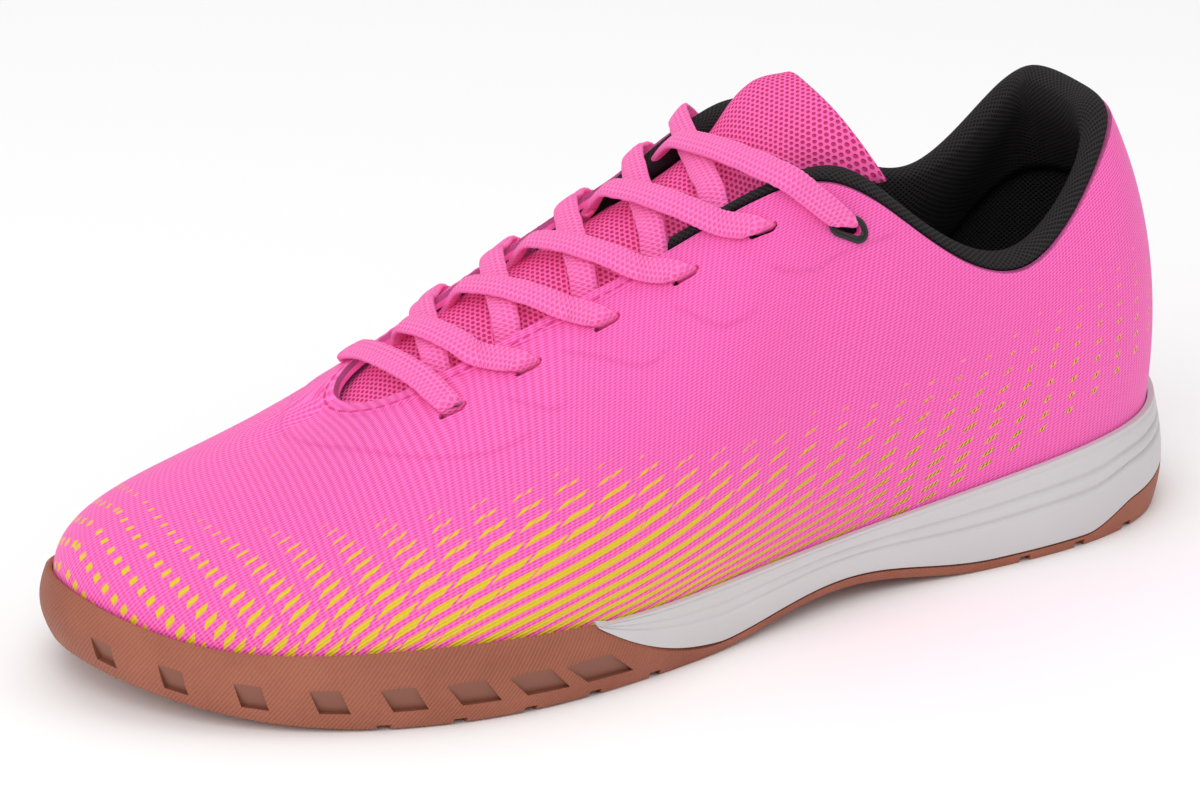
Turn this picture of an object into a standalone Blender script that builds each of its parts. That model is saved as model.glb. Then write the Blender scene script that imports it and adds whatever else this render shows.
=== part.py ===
"""Indoor court shoe for the left foot, built as separate solids.

The shoe stands on its sole, toe towards -X and outer (lateral) side towards -Y.
Points are worked out in millimetres as (s, y, z): s runs along the foot from the back of
the heel, y runs across it with the inner (medial) side positive, and z runs up from the floor.
The upper is one surface of two parameters. u goes round the foot, 0 at the heel, 1 at the
toe tip by way of the lateral side and back to 2 along the medial side. v climbs from the
feather line, where the upper meets the sole, to the edge of collar and throat.
"""

import math
from collections import namedtuple

import bmesh
import bpy
import numpy as np

MM = 0.001

# Driving dimensions, in millimetres.
LENGTH = 280.0
GAP = 0.3
UPPER_WALL = 1.8
LIP = 1.5

# Height of the tread above the floor.
TOE_SPRING = 10.5
TOE_SPRING_START = 220.0
ARCH_RISE = 4.6
ARCH_BACK = 62.0
ARCH_FRONT = 148.0
HEEL_BEVEL = 2.5
HEEL_BEVEL_END = 14.0

# Height of the board that the foot stands on.
BED_HEEL = 15.5
BED_FOREFOOT = 8.0
BED_FALL_START = 42.0
BED_FALL_RUN = 140.0
BED_TOE_RISE = 9.0
BED_TOE_START = 210.0

# Sole side: how far it stands out of the feather line, and where the gum meets the foam.
BELLY_LOW = 2.6
BELLY_LOW_AT = 0.35
BELLY_HIGH = 2.4
BELLY_HIGH_AT = 0.60
GUM_BAND = 2.5
GUM_SKIN = 2.2
GUM_PLATE = 3.0
GUM_SIDE_LEVELS = (0.0, 0.3, 0.62, 1.0)
HEEL_GUM_LOW = 7.5
HEEL_GUM_LOW_END = 0.16
HEEL_GUM_LOW_RUN = 0.05
HEEL_GUM_HIGH = 12.5
HEEL_GUM_HIGH_END = 0.13
FOAM_FRONT_START = 138.0
FOAM_FRONT_END = 177.0
FOAM_TIP = 0.72
FOAM_LIFT = 0.51
FOAM_TIP_LIFT = 0.30
FOAM_TIP_LIFT_RUN = 0.05
FOAM_GROOVES = (0.52, 0.70)
FOAM_GROOVE_DEPTH = 0.9
FOAM_GROOVE_HALF = 0.05
FOAM_GROOVE_FADE_U = 0.60
FOAM_GROOVE_LEAST = 0.25

# Side windows and tread grooves of the outsole.
WINDOW_COUNT = 8
WINDOW_FIRST_U = 0.615
WINDOW_LAST_U = 0.945
WINDOW_LEVEL = 0.47
WINDOW_LONG_WAIST = 12.0
WINDOW_LONG_TOE = 5.5
WINDOW_TALL = 5.6
WINDOW_SLANT_WAIST = 1.2
WINDOW_SLANT_TOE = 0.3
WINDOW_DEPTH_TOP = 0.3
WINDOW_DEPTH_BOTTOM = 1.6
FLEX_GROOVES = (22.0, 38.0, 54.0, 160.0, 176.0, 192.0, 208.0, 224.0)
FLEX_GROOVE_WIDE = 3.0
FLEX_GROOVE_DEEP = 1.6
CUTTER_REACH = 4.0
CUTTER_HALF = 80.0

# Lace, eyelets, lining, tongue and footbed.
LACE_WIDE = 6.3
LACE_THICK = 1.5
LACE_BEVEL = 0.7
LACE_LIFT = 0.7
SLOT_LONG = 6.8
SLOT_WIDE = 2.6
RING_MARGIN = 1.7
RING_THICK = 0.9
LINING_END_U = 0.60
LINING_CLEAR = 0.6
INSOLE_THICK = 3.5
INSOLE_CLEAR = 0.6

# Grid sizes.
STATIONS = 40
UPPER_ROWS = 7
UPPER_ROWS_IN_CUP = 2

# Outline of the last where upper and sole meet, how far the tread's edge stands out of it,
# and the height of the sole's rim.
Feather = namedtuple("Feather", "u s lateral medial tread rim")
FEATHER = (
    Feather(0.000, 3.5, 0.5, 0.5, 3.8, 28.0),
    Feather(0.060, 10.0, -17.0, 18.0, 4.0, 26.5),
    Feather(0.130, 28.0, -28.0, 28.5, 4.0, 25.0),
    Feather(0.240, 62.0, -31.5, 29.0, 4.2, 20.8),
    Feather(0.360, 99.0, -32.5, 25.5, 4.2, 16.3),
    Feather(0.470, 132.0, -39.0, 27.0, 4.2, 15.2),
    Feather(0.575, 164.0, -46.0, 35.0, 4.2, 15.3),
    Feather(0.680, 196.0, -47.8, 42.0, 4.4, 16.8),
    Feather(0.775, 224.0, -40.8, 43.0, 4.8, 17.0),
    Feather(0.885, 255.6, -21.8, 35.5, 4.4, 18.0),
    Feather(1.000, 273.85, 9.0, 9.0, 2.0, 24.5),
)

TopEdge = namedtuple("TopEdge", "u s lateral lateral_z medial medial_z")
TOP_EDGE = (
    TopEdge(0.000, 18.0, 0.0, 100.0, 0.0, 100.0),
    TopEdge(0.060, 20.4, -14.0, 99.0, 14.0, 100.4),
    TopEdge(0.130, 28.4, -23.0, 91.0, 22.5, 94.6),
    TopEdge(0.240, 51.0, -28.5, 70.0, 27.0, 75.6),
    TopEdge(0.360, 82.0, -28.0, 84.5, 26.0, 90.0),
    TopEdge(0.470, 106.0, -22.0, 97.5, 22.0, 102.0),
    TopEdge(0.575, 133.0, -14.0, 86.0, 16.5, 93.0),
    TopEdge(0.680, 162.0, -11.0, 74.0, 14.5, 80.0),
    TopEdge(0.775, 190.0, -9.0, 63.5, 13.0, 67.0),
    TopEdge(0.885, 206.0, -5.0, 58.0, 9.5, 60.0),
    TopEdge(1.000, 211.0, 2.5, 57.0, 2.5, 57.0),
)

# Each rib of the upper leaves the sole leaning outwards by lean degrees and reaches the top
# edge sloping by drop degrees; root and crown say how far it keeps those two directions.
Rib = namedtuple("Rib", "u lean root drop crown")
SHORT_REACH = 8.0
REACH_RUN = 20.0
RIBS = (
    Rib(0.000, 8.0, 30.0, 62.0, 28.0),
    Rib(0.060, 8.0, 30.0, 64.0, 28.0),
    Rib(0.130, 9.0, 28.0, 70.0, 24.0),
    Rib(0.240, 10.0, 20.0, 80.0, 16.0),
    Rib(0.360, 10.0, 26.0, 72.0, 22.0),
    Rib(0.470, 12.0, 30.0, 55.0, 30.0),
    Rib(0.575, 16.0, 28.0, 42.0, 28.0),
    Rib(0.680, 20.0, 25.0, 36.0, 28.0),
    Rib(0.775, 24.0, 23.0, 35.0, 26.0),
    Rib(0.885, 24.0, 25.0, 35.0, 27.0),
    Rib(1.000, 18.0, 31.0, 34.0, 27.0),
)

# Lace slots from the toe upwards, placed on the upper's own surface.
Eyelet = namedtuple("Eyelet", "lateral_u medial_u v")
EYELETS = (
    Eyelet(0.756, 0.785, 0.845),
    Eyelet(0.699, 0.705, 0.865),
    Eyelet(0.636, 0.645, 0.877),
    Eyelet(0.568, 0.577, 0.888),
    Eyelet(0.503, 0.512, 0.905),
    Eyelet(0.424, 0.445, 0.905),
)

# Tongue sections from the vamp to the free end: crest, half width and depth of the arch,
# thickness and slope across.
TongueRow = namedtuple("TongueRow", "s centre z half sag thick tilt")
TONGUE = (
    TongueRow(219.0, 2.0, 49.6, 12.0, 4.0, 1.6, 0.20),
    TongueRow(208.0, 2.0, 54.6, 14.0, 6.0, 2.4, 0.20),
    TongueRow(190.0, 2.0, 65.2, 17.0, 11.0, 4.0, 0.20),
    TongueRow(162.0, 2.0, 77.2, 18.0, 13.0, 5.0, 0.22),
    TongueRow(133.0, 2.0, 89.2, 17.0, 14.5, 5.0, 0.26),
    TongueRow(118.0, 2.0, 96.8, 14.5, 13.5, 5.0, 0.38),
    TongueRow(109.0, 1.5, 105.0, 14.0, 11.5, 5.0, 0.42),
    TongueRow(104.5, 1.0, 108.6, 15.0, 13.0, 5.0, 0.42),
    TongueRow(101.0, 0.0, 111.6, 16.0, 16.5, 4.5, 0.36),
    TongueRow(95.0, -1.0, 115.0, 17.0, 21.5, 2.5, 0.22),
)
TONGUE_ACROSS = 9
TONGUE_SPREAD = math.radians(86.0)
TONGUE_LEAN = math.radians(34.0)
TONGUE_EDGE_INSET = 0.6

# Edge parameters of each crossing: where its two straps come out and where they turn over.
Crossing = namedtuple("Crossing", "over_start over_edge under_start under_edge")
CROSSINGS = (
    Crossing(0.785, 0.750, 0.782, 0.752),
    Crossing(0.735, 0.683, 0.722, 0.693),
    Crossing(0.680, 0.622, 0.661, 0.627),
    Crossing(0.610, 0.556, 0.600, 0.561),
    Crossing(0.540, 0.490, 0.546, 0.495),
)
BAR_EDGE_LATERAL = 0.800
BAR_EDGE_MEDIAL = 0.836

# Places along a strap: side of the throat, from the edge where it comes out at -1 to the edge
# where it turns over at 1, and height over the line between the edges in lace thicknesses.
StrapPoint = namedtuple("StrapPoint", "side rise")
UNDER_STRAP = (
    StrapPoint(-0.60, 1.50),
    StrapPoint(-0.20, 1.95),
    StrapPoint(0.20, 2.05),
    StrapPoint(0.66, 1.95),
    StrapPoint(1.00, 1.25),
)
OVER_STRAP = (
    StrapPoint(-0.60, 1.50),
    StrapPoint(-0.20, 2.30),
    StrapPoint(0.20, 2.60),
    StrapPoint(0.66, 2.20),
    StrapPoint(1.00, 1.25),
)
BAR_STRAP = (
    StrapPoint(-1.0, 1.05),
    StrapPoint(-0.5, 1.80),
    StrapPoint(0.0, 1.95),
    StrapPoint(0.5, 1.80),
    StrapPoint(1.0, 1.05),
)
STRAP_SAMPLES = 10
WALL_SHARE = 0.5
STRAP_END_V = 0.012

# Lining cross-section: rise along the wall past its edge and depth inside its outer face,
# both scaled down along the throat.
LiningPoint = namedtuple("LiningPoint", "rise depth")
LINING_FOOT = 26.0
LINING_SECTION = (
    LiningPoint(-12.0, 0.0),
    LiningPoint(-1.0, 0.0),
    LiningPoint(0.4, 0.0),
    LiningPoint(1.0, -1.7),
    LiningPoint(2.8, -1.5),
    LiningPoint(4.4, 0.6),
    LiningPoint(4.6, 3.0),
    LiningPoint(3.0, 5.2),
    LiningPoint(-3.0, 6.2),
    LiningPoint(-12.0, 5.0),
)
LINING_THIN = 1.6
LINING_THROAT_SCALE = 0.3
LINING_THROAT_START = 0.40
LINING_THROAT_RUN = 0.12
LINING_END_RUN = 0.05


def ease(x):
    """Smooth step from 0 to 1."""
    x = np.clip(x, 0.0, 1.0)
    return x * x * (3.0 - 2.0 * x)


def ground(s):
    """Height of the tread: toe spring, arch and heel bevel over a flat forefoot and heel."""
    toe = np.clip((s - TOE_SPRING_START) / (LENGTH - TOE_SPRING_START), 0.0, None)
    arch = np.clip((s - ARCH_BACK) / (ARCH_FRONT - ARCH_BACK), 0.0, 1.0)
    heel = np.clip((HEEL_BEVEL_END - s) / HEEL_BEVEL_END, 0.0, 1.0)
    return TOE_SPRING * toe**2 + ARCH_RISE * np.sin(math.pi * arch) ** 2 + HEEL_BEVEL * heel**2


def bed(s):
    """Height of the board that the foot stands on."""
    fall = ease((s - BED_FALL_START) / BED_FALL_RUN)
    toe = np.clip((s - BED_TOE_START) / (LENGTH - BED_TOE_START), 0.0, None)
    return BED_HEEL + (BED_FOREFOOT - BED_HEEL) * fall + BED_TOE_RISE * toe**2


class ClosedSpline:
    """Periodic cubic spline through rows of values."""

    def __init__(self, knots, values, period):
        self.knots = np.asarray(knots, dtype=float)
        self.values = np.asarray(values, dtype=float)
        self.period = period
        self.steps = np.diff(np.append(self.knots, self.knots[0] + period))
        slopes = (np.roll(self.values, -1, axis=0) - self.values) / self.steps[:, None]
        count = len(self.knots)
        system = np.zeros((count, count))
        for i in range(count):
            system[i, i - 1] += self.steps[i - 1]
            system[i, i] += 2.0 * (self.steps[i - 1] + self.steps[i])
            system[i, (i + 1) % count] += self.steps[i]
        self.bends = np.linalg.solve(system, 6.0 * (slopes - np.roll(slopes, 1, axis=0)))

    def __call__(self, u):
        u = np.mod(np.asarray(u, dtype=float), self.period)
        i = np.searchsorted(self.knots, u, side="right") - 1
        j = (i + 1) % len(self.knots)
        step = self.steps[i][..., None]
        b = (u - self.knots[i])[..., None] / step
        a = 1.0 - b
        bend = ((a**3 - a) * self.bends[i] + (b**3 - b) * self.bends[j]) * step**2 / 6.0
        return a * self.values[i] + b * self.values[j] + bend


def closed_rows():
    """Knots and values round the foot: lateral rows heel to toe, then medial rows back."""
    rows = []
    for foot, top, rib in zip(FEATHER, TOP_EDGE, RIBS):
        shape = (rib.lean, rib.root, rib.drop, rib.crown, foot.tread)
        lateral = (foot.s, foot.lateral, foot.rim, top.s, top.lateral, top.lateral_z) + shape
        medial = (foot.s, foot.medial, foot.rim, top.s, top.medial, top.medial_z) + shape
        rows.append((foot.u, lateral))
        if 0.0 < foot.u < 1.0:
            rows.append((2.0 - foot.u, medial))
    rows.sort(key=lambda row: row[0])
    return [row[0] for row in rows], [row[1] for row in rows]


LAST = ClosedSpline(*closed_rows(), period=2.0)


def unit(vectors):
    """Vectors scaled to length one."""
    return vectors / np.linalg.norm(vectors, axis=-1, keepdims=True)


def outline_normal(u):
    """Direction out of the foot's outline, in plan."""
    small = 1e-4
    along = LAST(u + small)[..., :2] - LAST(u - small)[..., :2]
    return unit(np.stack([along[..., 1], -along[..., 0]], axis=-1))


def surface(u, v):
    """Outer face of the upper: a cubic rib at each u, leaving the sole and meeting the edge."""
    u, v = np.broadcast_arrays(np.asarray(u, dtype=float), np.asarray(v, dtype=float))
    row = LAST(u)
    foot = np.stack([row[..., 0], row[..., 1], bed(row[..., 0])], axis=-1)
    edge = row[..., 3:6]
    lean = np.radians(row[..., 6])[..., None]
    drop = np.radians(row[..., 8])[..., None]
    out = outline_normal(u)
    reach = foot[..., :2] - edge[..., :2]
    far = np.linalg.norm(reach, axis=-1, keepdims=True)
    share = ease((far - SHORT_REACH) / REACH_RUN)
    slope = unit(reach / np.maximum(far, 1e-6) * share + out * (1.0 - share))
    leave = np.concatenate([np.sin(lean) * out, np.cos(lean)], axis=-1)
    arrive = np.concatenate([np.cos(drop) * slope, -np.sin(drop)], axis=-1)
    low = foot + row[..., 7:8] * leave
    high = edge + row[..., 9:10] * arrive
    v = v[..., None]
    w = 1.0 - v
    return w**3 * foot + 3.0 * w**2 * v * low + 3.0 * w * v**2 * high + v**3 * edge


def surface_frame(u, v):
    """Point, direction round the foot, direction up the rib and outward normal."""
    small = 1e-4
    point = surface(u, v)
    around = unit(surface(u + small, v) - surface(u - small, v))
    climb = unit(surface(u, v + small) - surface(u, v - small))
    return point, around, climb, unit(np.cross(around, climb))


def offset(u, v, distance):
    """Point at a distance outside the upper's outer face."""
    point, _, _, normal = surface_frame(u, v)
    return point + np.asarray(distance)[..., None] * normal


def level_v(u, height):
    """Parameter v where the upper reaches a height."""
    steps = np.linspace(0.0, 0.6, 61)
    heights = surface(u[:, None], steps)[..., 2]
    return np.array([np.interp(z, row, steps) for z, row in zip(height, heights)])


def rim_v(u):
    """Parameter v of the line where the sole's rim meets the upper."""
    return level_v(u, LAST(u)[..., 2])


def flat(points, height):
    """Points moved to a height."""
    return np.concatenate([points[..., :2], np.asarray(height)[..., None]], axis=-1)


def sole_side(u, level):
    """Outer side of the sole, from the tread's edge at level 0 to the rim's at level 1."""
    row = LAST(u)
    out = outline_normal(u)
    sideways = np.concatenate([out, np.zeros(out.shape[:-1] + (1,))], axis=-1)
    plan = row[..., :2] + row[..., 10:11] * out
    tread = np.concatenate([plan, ground(plan[..., :1])], axis=-1)
    rim = flat(offset(u, rim_v(u), np.full(u.shape, GAP + LIP)), row[..., 2])
    tall = (rim - tread) * np.array([0.0, 0.0, 1.0])
    low = tread + BELLY_LOW * sideways + BELLY_LOW_AT * tall
    high = rim + BELLY_HIGH * sideways - (1.0 - BELLY_HIGH_AT) * tall
    a = np.asarray(level, dtype=float)
    a = np.broadcast_to(a, u.shape)[..., None]
    b = 1.0 - a
    return b**3 * tread + 3.0 * b**2 * a * low + 3.0 * b * a**2 * high + a**3 * rim


def side_level(u, height):
    """Level at which the sole's side reaches a height."""
    steps = np.linspace(0.0, 1.0, 61)
    heights = np.stack([sole_side(u, step)[..., 2] for step in steps], axis=-1)
    return np.array([np.interp(z, row, steps) for z, row in zip(height, heights)])


def foam_end(s):
    """Share of the sole's side that gum takes over, 0 at the waist and 1 at the foam's tip."""
    return np.clip((s - FOAM_FRONT_START) / (FOAM_FRONT_END - FOAM_FRONT_START), 0.0, 1.0) ** 2


def gum_top(u):
    """Height of the line where gum meets foam on the sole's side."""
    row = LAST(u)
    band = ground(row[..., 0]) + GUM_BAND
    from_heel = np.minimum(u, 2.0 - u)
    band = band + (HEEL_GUM_LOW - band) * ease((HEEL_GUM_LOW_END - from_heel) / HEEL_GUM_LOW_RUN)
    band = band + (HEEL_GUM_HIGH - HEEL_GUM_LOW) * ease(1.0 - from_heel / HEEL_GUM_HIGH_END)
    share = foam_end(row[..., 0])
    return band + (row[..., 2] - band) * share


def sole_centre():
    """Middle of the sole's box in plan."""
    u = np.linspace(0.0, 2.0, 401)
    loops = np.concatenate([sole_side(u, level) for level in np.linspace(0.0, 1.0, 9)])
    return (loops.min(axis=0) + loops.max(axis=0))[:2] / 2.0


CENTRE_S, CENTRE_Y = sole_centre()


def world(points):
    """Millimetres along, across and up the foot as metres in the part's frame."""
    moved = np.asarray(points, dtype=float) - np.array([CENTRE_S, CENTRE_Y, 0.0])
    return moved * np.array([-MM, MM, MM])


def make_material(name, colour, roughness):
    """Principled material of one colour."""
    material = bpy.data.materials.new(name)
    material.use_nodes = True
    shader = material.node_tree.nodes["Principled BSDF"]
    shader.inputs["Base Color"].default_value = (*colour, 1.0)
    shader.inputs["Roughness"].default_value = roughness
    shader.inputs["Metallic"].default_value = 0.0
    return material


def make_object(name, points, faces, material=None):
    """Closed mesh object from points in millimetres, with doubles merged and faces outwards."""
    mesh = bpy.data.meshes.new(name)
    mesh.from_pydata(world(points).tolist(), [], faces)
    shape = bmesh.new()
    shape.from_mesh(mesh)
    bmesh.ops.remove_doubles(shape, verts=shape.verts, dist=1e-6)
    bmesh.ops.dissolve_degenerate(shape, edges=shape.edges, dist=1e-6)
    bmesh.ops.recalc_face_normals(shape, faces=shape.faces)
    shape.to_mesh(mesh)
    shape.free()
    mesh.shade_smooth()
    mesh.set_sharp_from_angle(angle=math.radians(35.0))
    piece = bpy.data.objects.new(name, mesh)
    bpy.context.collection.objects.link(piece)
    if material:
        mesh.materials.append(material)
    return piece


def make_cutter(name, points, faces):
    """Guide solid that only cuts or joins."""
    cutter = make_object(name, points, faces)
    cutter.hide_render = True
    cutter.display_type = "WIRE"
    return cutter


def combine(piece, cutter, operation):
    """Boolean modifier between a piece and a guide solid."""
    modifier = piece.modifiers.new(cutter.name, "BOOLEAN")
    modifier.object = cutter
    modifier.operation = operation
    modifier.solver = "EXACT"


def grid_faces(rows, columns, close_rows=False, close_columns=True, start=0):
    """Quads between neighbouring rows and columns of a grid of points."""
    faces = []
    for i in range(rows if close_rows else rows - 1):
        for j in range(columns if close_columns else columns - 1):
            a = start + i * columns
            b = start + (i + 1) % rows * columns
            k = (j + 1) % columns
            faces.append((a + j, b + j, b + k, a + k))
    return faces


def tube(rings):
    """Points and faces of a solid through closed rings, capped at both ends."""
    count, size = rings.shape[:2]
    faces = grid_faces(count, size)
    faces.append(tuple(range(size)))
    faces.append(tuple(range((count - 1) * size, count * size)))
    return rings.reshape(-1, 3), faces


def merge_solids(solids):
    """Points and faces of several solids as one list."""
    points = []
    faces = []
    for solid_points, solid_faces in solids:
        start = sum(len(block) for block in points)
        points.append(np.asarray(solid_points))
        faces.extend(tuple(start + k for k in face) for face in solid_faces)
    return np.concatenate(points), faces


def station_u():
    """Places of the stations along one side, heel to toe."""
    return np.linspace(0.0, 1.0, STATIONS + 1)


def across(lateral, medial, count, height=None):
    """Points between the two sides of each station, at a height given by s."""
    shares = np.linspace(0.0, 1.0, count + 2)[1:-1]
    points = lateral[:, None] + (medial - lateral)[:, None] * shares[None, :, None]
    if height is None:
        return points
    return flat(points, height(points[..., 0]))


def station_rings(chain_of, u, top_count, top_height, bottom_count, bottom_height):
    """Closed ring at each station: lateral chain, top, medial chain and bottom."""
    lateral = chain_of(u)
    medial = chain_of(2.0 - u)
    top = across(lateral[:, -1], medial[:, -1], top_count, top_height)
    bottom = across(medial[:, 0], lateral[:, 0], bottom_count, bottom_height)
    return np.concatenate([lateral, top, medial[:, ::-1], bottom], axis=1)


def cup_floor(s):
    """Top of the sole under the upper and footbed."""
    return bed(s) - GAP


def cup_wall(u):
    """Inside of the sole's rim, clear of the upper, from rim to floor."""
    rim = rim_v(u)
    gap = np.full(u.shape, GAP)
    top = flat(offset(u, rim, gap), LAST(u)[..., 2])
    middle = offset(u, rim / UPPER_ROWS_IN_CUP, gap)
    low = offset(u, np.zeros_like(u), gap)
    return [top, middle, flat(low, cup_floor(LAST(u)[..., 0]))]


def gum_plate(s):
    """Top of the gum under the foam."""
    return ground(s) + GUM_PLATE


def gum_seat(u, clear=0.0):
    """Inner side of the gum under the foam: skin, middle and plate edge at each u."""
    row = LAST(u)
    out = np.concatenate([outline_normal(u), np.zeros(u.shape + (1,))], axis=-1)
    outer = sole_side(u, side_level(u, gum_top(u)))
    skin = outer - (GUM_SKIN + clear) * out
    edge_plan = row[..., :2] + (1.0 - clear) * out[..., :2]
    edge = np.concatenate([edge_plan, gum_plate(edge_plan[..., :1])], axis=-1)
    return [skin, (skin + edge) / 2.0, edge]


def outsole_chain(u):
    """Side of the outsole at each u, from the tread's edge to the cup's floor."""
    top_level = side_level(u, gum_top(u))
    share = foam_end(LAST(u)[..., 0])[..., None]
    side = [sole_side(u, top_level * part) for part in GUM_SIDE_LEVELS]
    inside = [a + (b - a) * share for a, b in zip(gum_seat(u), cup_wall(u))]
    return np.stack(side + inside, axis=1)


def gum_floor(points_s):
    """Top of the outsole between its sides: gum plate at the rear, cup floor in front."""
    share = foam_end(points_s)
    return gum_plate(points_s) + (cup_floor(points_s) - gum_plate(points_s)) * share


def build_outsole(material):
    """Gum cup with side windows and flex grooves."""
    rings = station_rings(outsole_chain, station_u(), 3, gum_floor, 4, ground)
    faces = grid_faces(*rings.shape[:2])
    outsole = make_object("outsole", rings.reshape(-1, 3), faces, material)
    combine(outsole, build_window_cutter(), "DIFFERENCE")
    combine(outsole, build_groove_cutter(), "DIFFERENCE")


BOX_FACES = ((0, 1, 3, 2), (4, 6, 7, 5), (0, 4, 5, 1), (2, 3, 7, 6), (0, 2, 6, 4), (1, 5, 7, 3))


def build_window_cutter():
    """Slanted wedges that cut the side windows, deepest at their lower edge."""
    share = np.linspace(0.0, 1.0, WINDOW_COUNT)
    places = WINDOW_FIRST_U + (WINDOW_LAST_U - WINDOW_FIRST_U) * share
    longs = WINDOW_LONG_TOE + (WINDOW_LONG_WAIST - WINDOW_LONG_TOE) * (1.0 - share) ** 2
    slants = WINDOW_SLANT_TOE + (WINDOW_SLANT_WAIST - WINDOW_SLANT_TOE) * (1.0 - share) ** 2
    blocks = []
    both = np.append(places, 2.0 - places)
    for place, long, slant in zip(both, np.tile(longs, 2), np.tile(slants, 2)):
        u = np.array([place])
        small = 1e-3
        centre = sole_side(u, WINDOW_LEVEL)[0]
        along = unit(sole_side(u + small, WINDOW_LEVEL) - sole_side(u - small, WINDOW_LEVEL))[0]
        climb = unit(sole_side(u, WINDOW_LEVEL + small) - sole_side(u, WINDOW_LEVEL - small))[0]
        out = unit(np.cross(along, climb))
        toward_toe = along if place < 1.0 else -along
        corners = []
        for up, depth in ((-0.5, WINDOW_DEPTH_BOTTOM), (0.5, WINDOW_DEPTH_TOP)):
            for side in (-0.5, 0.5):
                shift = side * long + up * slant * WINDOW_TALL
                base = centre + shift * toward_toe + up * WINDOW_TALL * climb
                corners.append(base - depth * out)
                corners.append(base + CUTTER_REACH * out)
        blocks.append((corners, BOX_FACES))
    return make_cutter("window_cutter", *merge_solids(blocks))


def build_groove_cutter():
    """Bars that cut the flex grooves across the tread."""
    blocks = []
    for s in FLEX_GROOVES:
        deep = ground(np.array(s)) + FLEX_GROOVE_DEEP
        corners = []
        for z in (-CUTTER_REACH, deep):
            for y in (-CUTTER_HALF, CUTTER_HALF):
                for side in (-0.5, 0.5):
                    corners.append((s + side * FLEX_GROOVE_WIDE, y, z))
        blocks.append((corners, BOX_FACES))
    return make_cutter("groove_cutter", *merge_solids(blocks))


def midsole_chain(u):
    """Side of the foam at each u, from the gum plate's edge to the cup's floor."""
    share = foam_end(LAST(u)[..., 0])[..., None]
    lift = FOAM_LIFT + FOAM_TIP_LIFT * ease(share / FOAM_TIP_LIFT_RUN)
    up = np.array([0.0, 0.0, 1.0])
    seat = [a + (b - a) * share + lift * up for a, b in zip(gum_seat(u, GAP), cup_wall(u))]
    start = side_level(u, gum_top(u) + lift[..., 0])
    from_heel = np.minimum(u, 2.0 - u)
    fade = FOAM_GROOVE_LEAST + (1.0 - FOAM_GROOVE_LEAST) * (1.0 - ease(from_heel / FOAM_GROOVE_FADE_U))
    out = np.concatenate([outline_normal(u), np.zeros(u.shape + (1,))], axis=-1)
    levels = [(0.0, 0.0)]
    for groove in FOAM_GROOVES:
        levels += [(groove - FOAM_GROOVE_HALF, 0.0), (groove, 1.0), (groove + FOAM_GROOVE_HALF, 0.0)]
    levels.append((1.0, 0.0))
    side = []
    for level, depth in levels:
        point = sole_side(u, start + (1.0 - start) * level)
        side.append(point - out * (depth * FOAM_GROOVE_DEPTH * fade)[..., None])
    return np.stack(seat[::-1] + side + cup_wall(u), axis=1)


def build_midsole(material):
    """White foam between gum and upper, from the heel to its tip on the forefoot's side."""
    u = station_u()
    u = u[foam_end(LAST(u)[..., 0]) < FOAM_TIP]
    rings = station_rings(midsole_chain, u, 3, cup_floor, 3, lambda s: gum_floor(s) + FOAM_LIFT)
    count, size = rings.shape[:2]
    faces = grid_faces(count, size)
    faces.append(tuple(range((count - 1) * size, count * size)))
    make_object("midsole", rings.reshape(-1, 3), faces, material)


def round_u():
    """Stations right round the foot, shared by the upper and the sole's rim."""
    side = station_u()
    return np.concatenate([side, 2.0 - side[-2:0:-1]])


def upper_grid():
    """Parameters of the upper's grid: rows in the cup, then rows up to the edge."""
    u = round_u()
    rim = rim_v(u)[:, None]
    in_cup = rim * np.linspace(0.0, 1.0, UPPER_ROWS_IN_CUP + 1)
    above = rim + (1.0 - rim) * np.linspace(0.0, 1.0, UPPER_ROWS + 1)[1:]
    v = np.concatenate([in_cup, above], axis=1)
    return np.broadcast_to(u[:, None], v.shape), v


def build_upper(material):
    """Hollow wall between the upper's outer face and the same face moved inwards."""
    u, v = upper_grid()
    outer = surface(u, v)
    inner = offset(u, v, np.full(u.shape, -UPPER_WALL))
    rings = np.concatenate([outer, inner[:, ::-1]], axis=1)
    faces = grid_faces(*rings.shape[:2], close_rows=True)
    upper = make_object("upper", rings.reshape(-1, 3), faces, material)
    combine(upper, build_slot_cutter(), "DIFFERENCE")


def both_sides(eyelet):
    """Parameters of an eyelet on the lateral and on the medial side."""
    return ((eyelet.lateral_u, eyelet.v), (2.0 - eyelet.medial_u, eyelet.v))


def stadium(long, wide, corner_steps=4):
    """Outline of a slot with round ends, long side first."""
    radius = wide / 2.0
    reach = long / 2.0 - radius
    points = []
    for centre, start in ((reach, -90.0), (-reach, 90.0)):
        for angle in np.radians(np.linspace(start, start + 180.0, corner_steps + 1)):
            points.append((centre + radius * math.cos(angle), radius * math.sin(angle)))
    return np.array(points)


def build_slot_cutter():
    """Prisms through the upper at every lace slot."""
    outline = stadium(SLOT_LONG, SLOT_WIDE)
    prisms = []
    for eyelet in EYELETS:
        for u, v in both_sides(eyelet):
            point, around, climb, normal = surface_frame(np.array(u), np.array(v))
            plate = point + outline[:, :1] * around + outline[:, 1:] * climb
            prisms.append(tube(np.stack([plate - CUTTER_REACH * normal, plate + CUTTER_REACH * normal])))
    return make_cutter("slot_cutter", *merge_solids(prisms))


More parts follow.
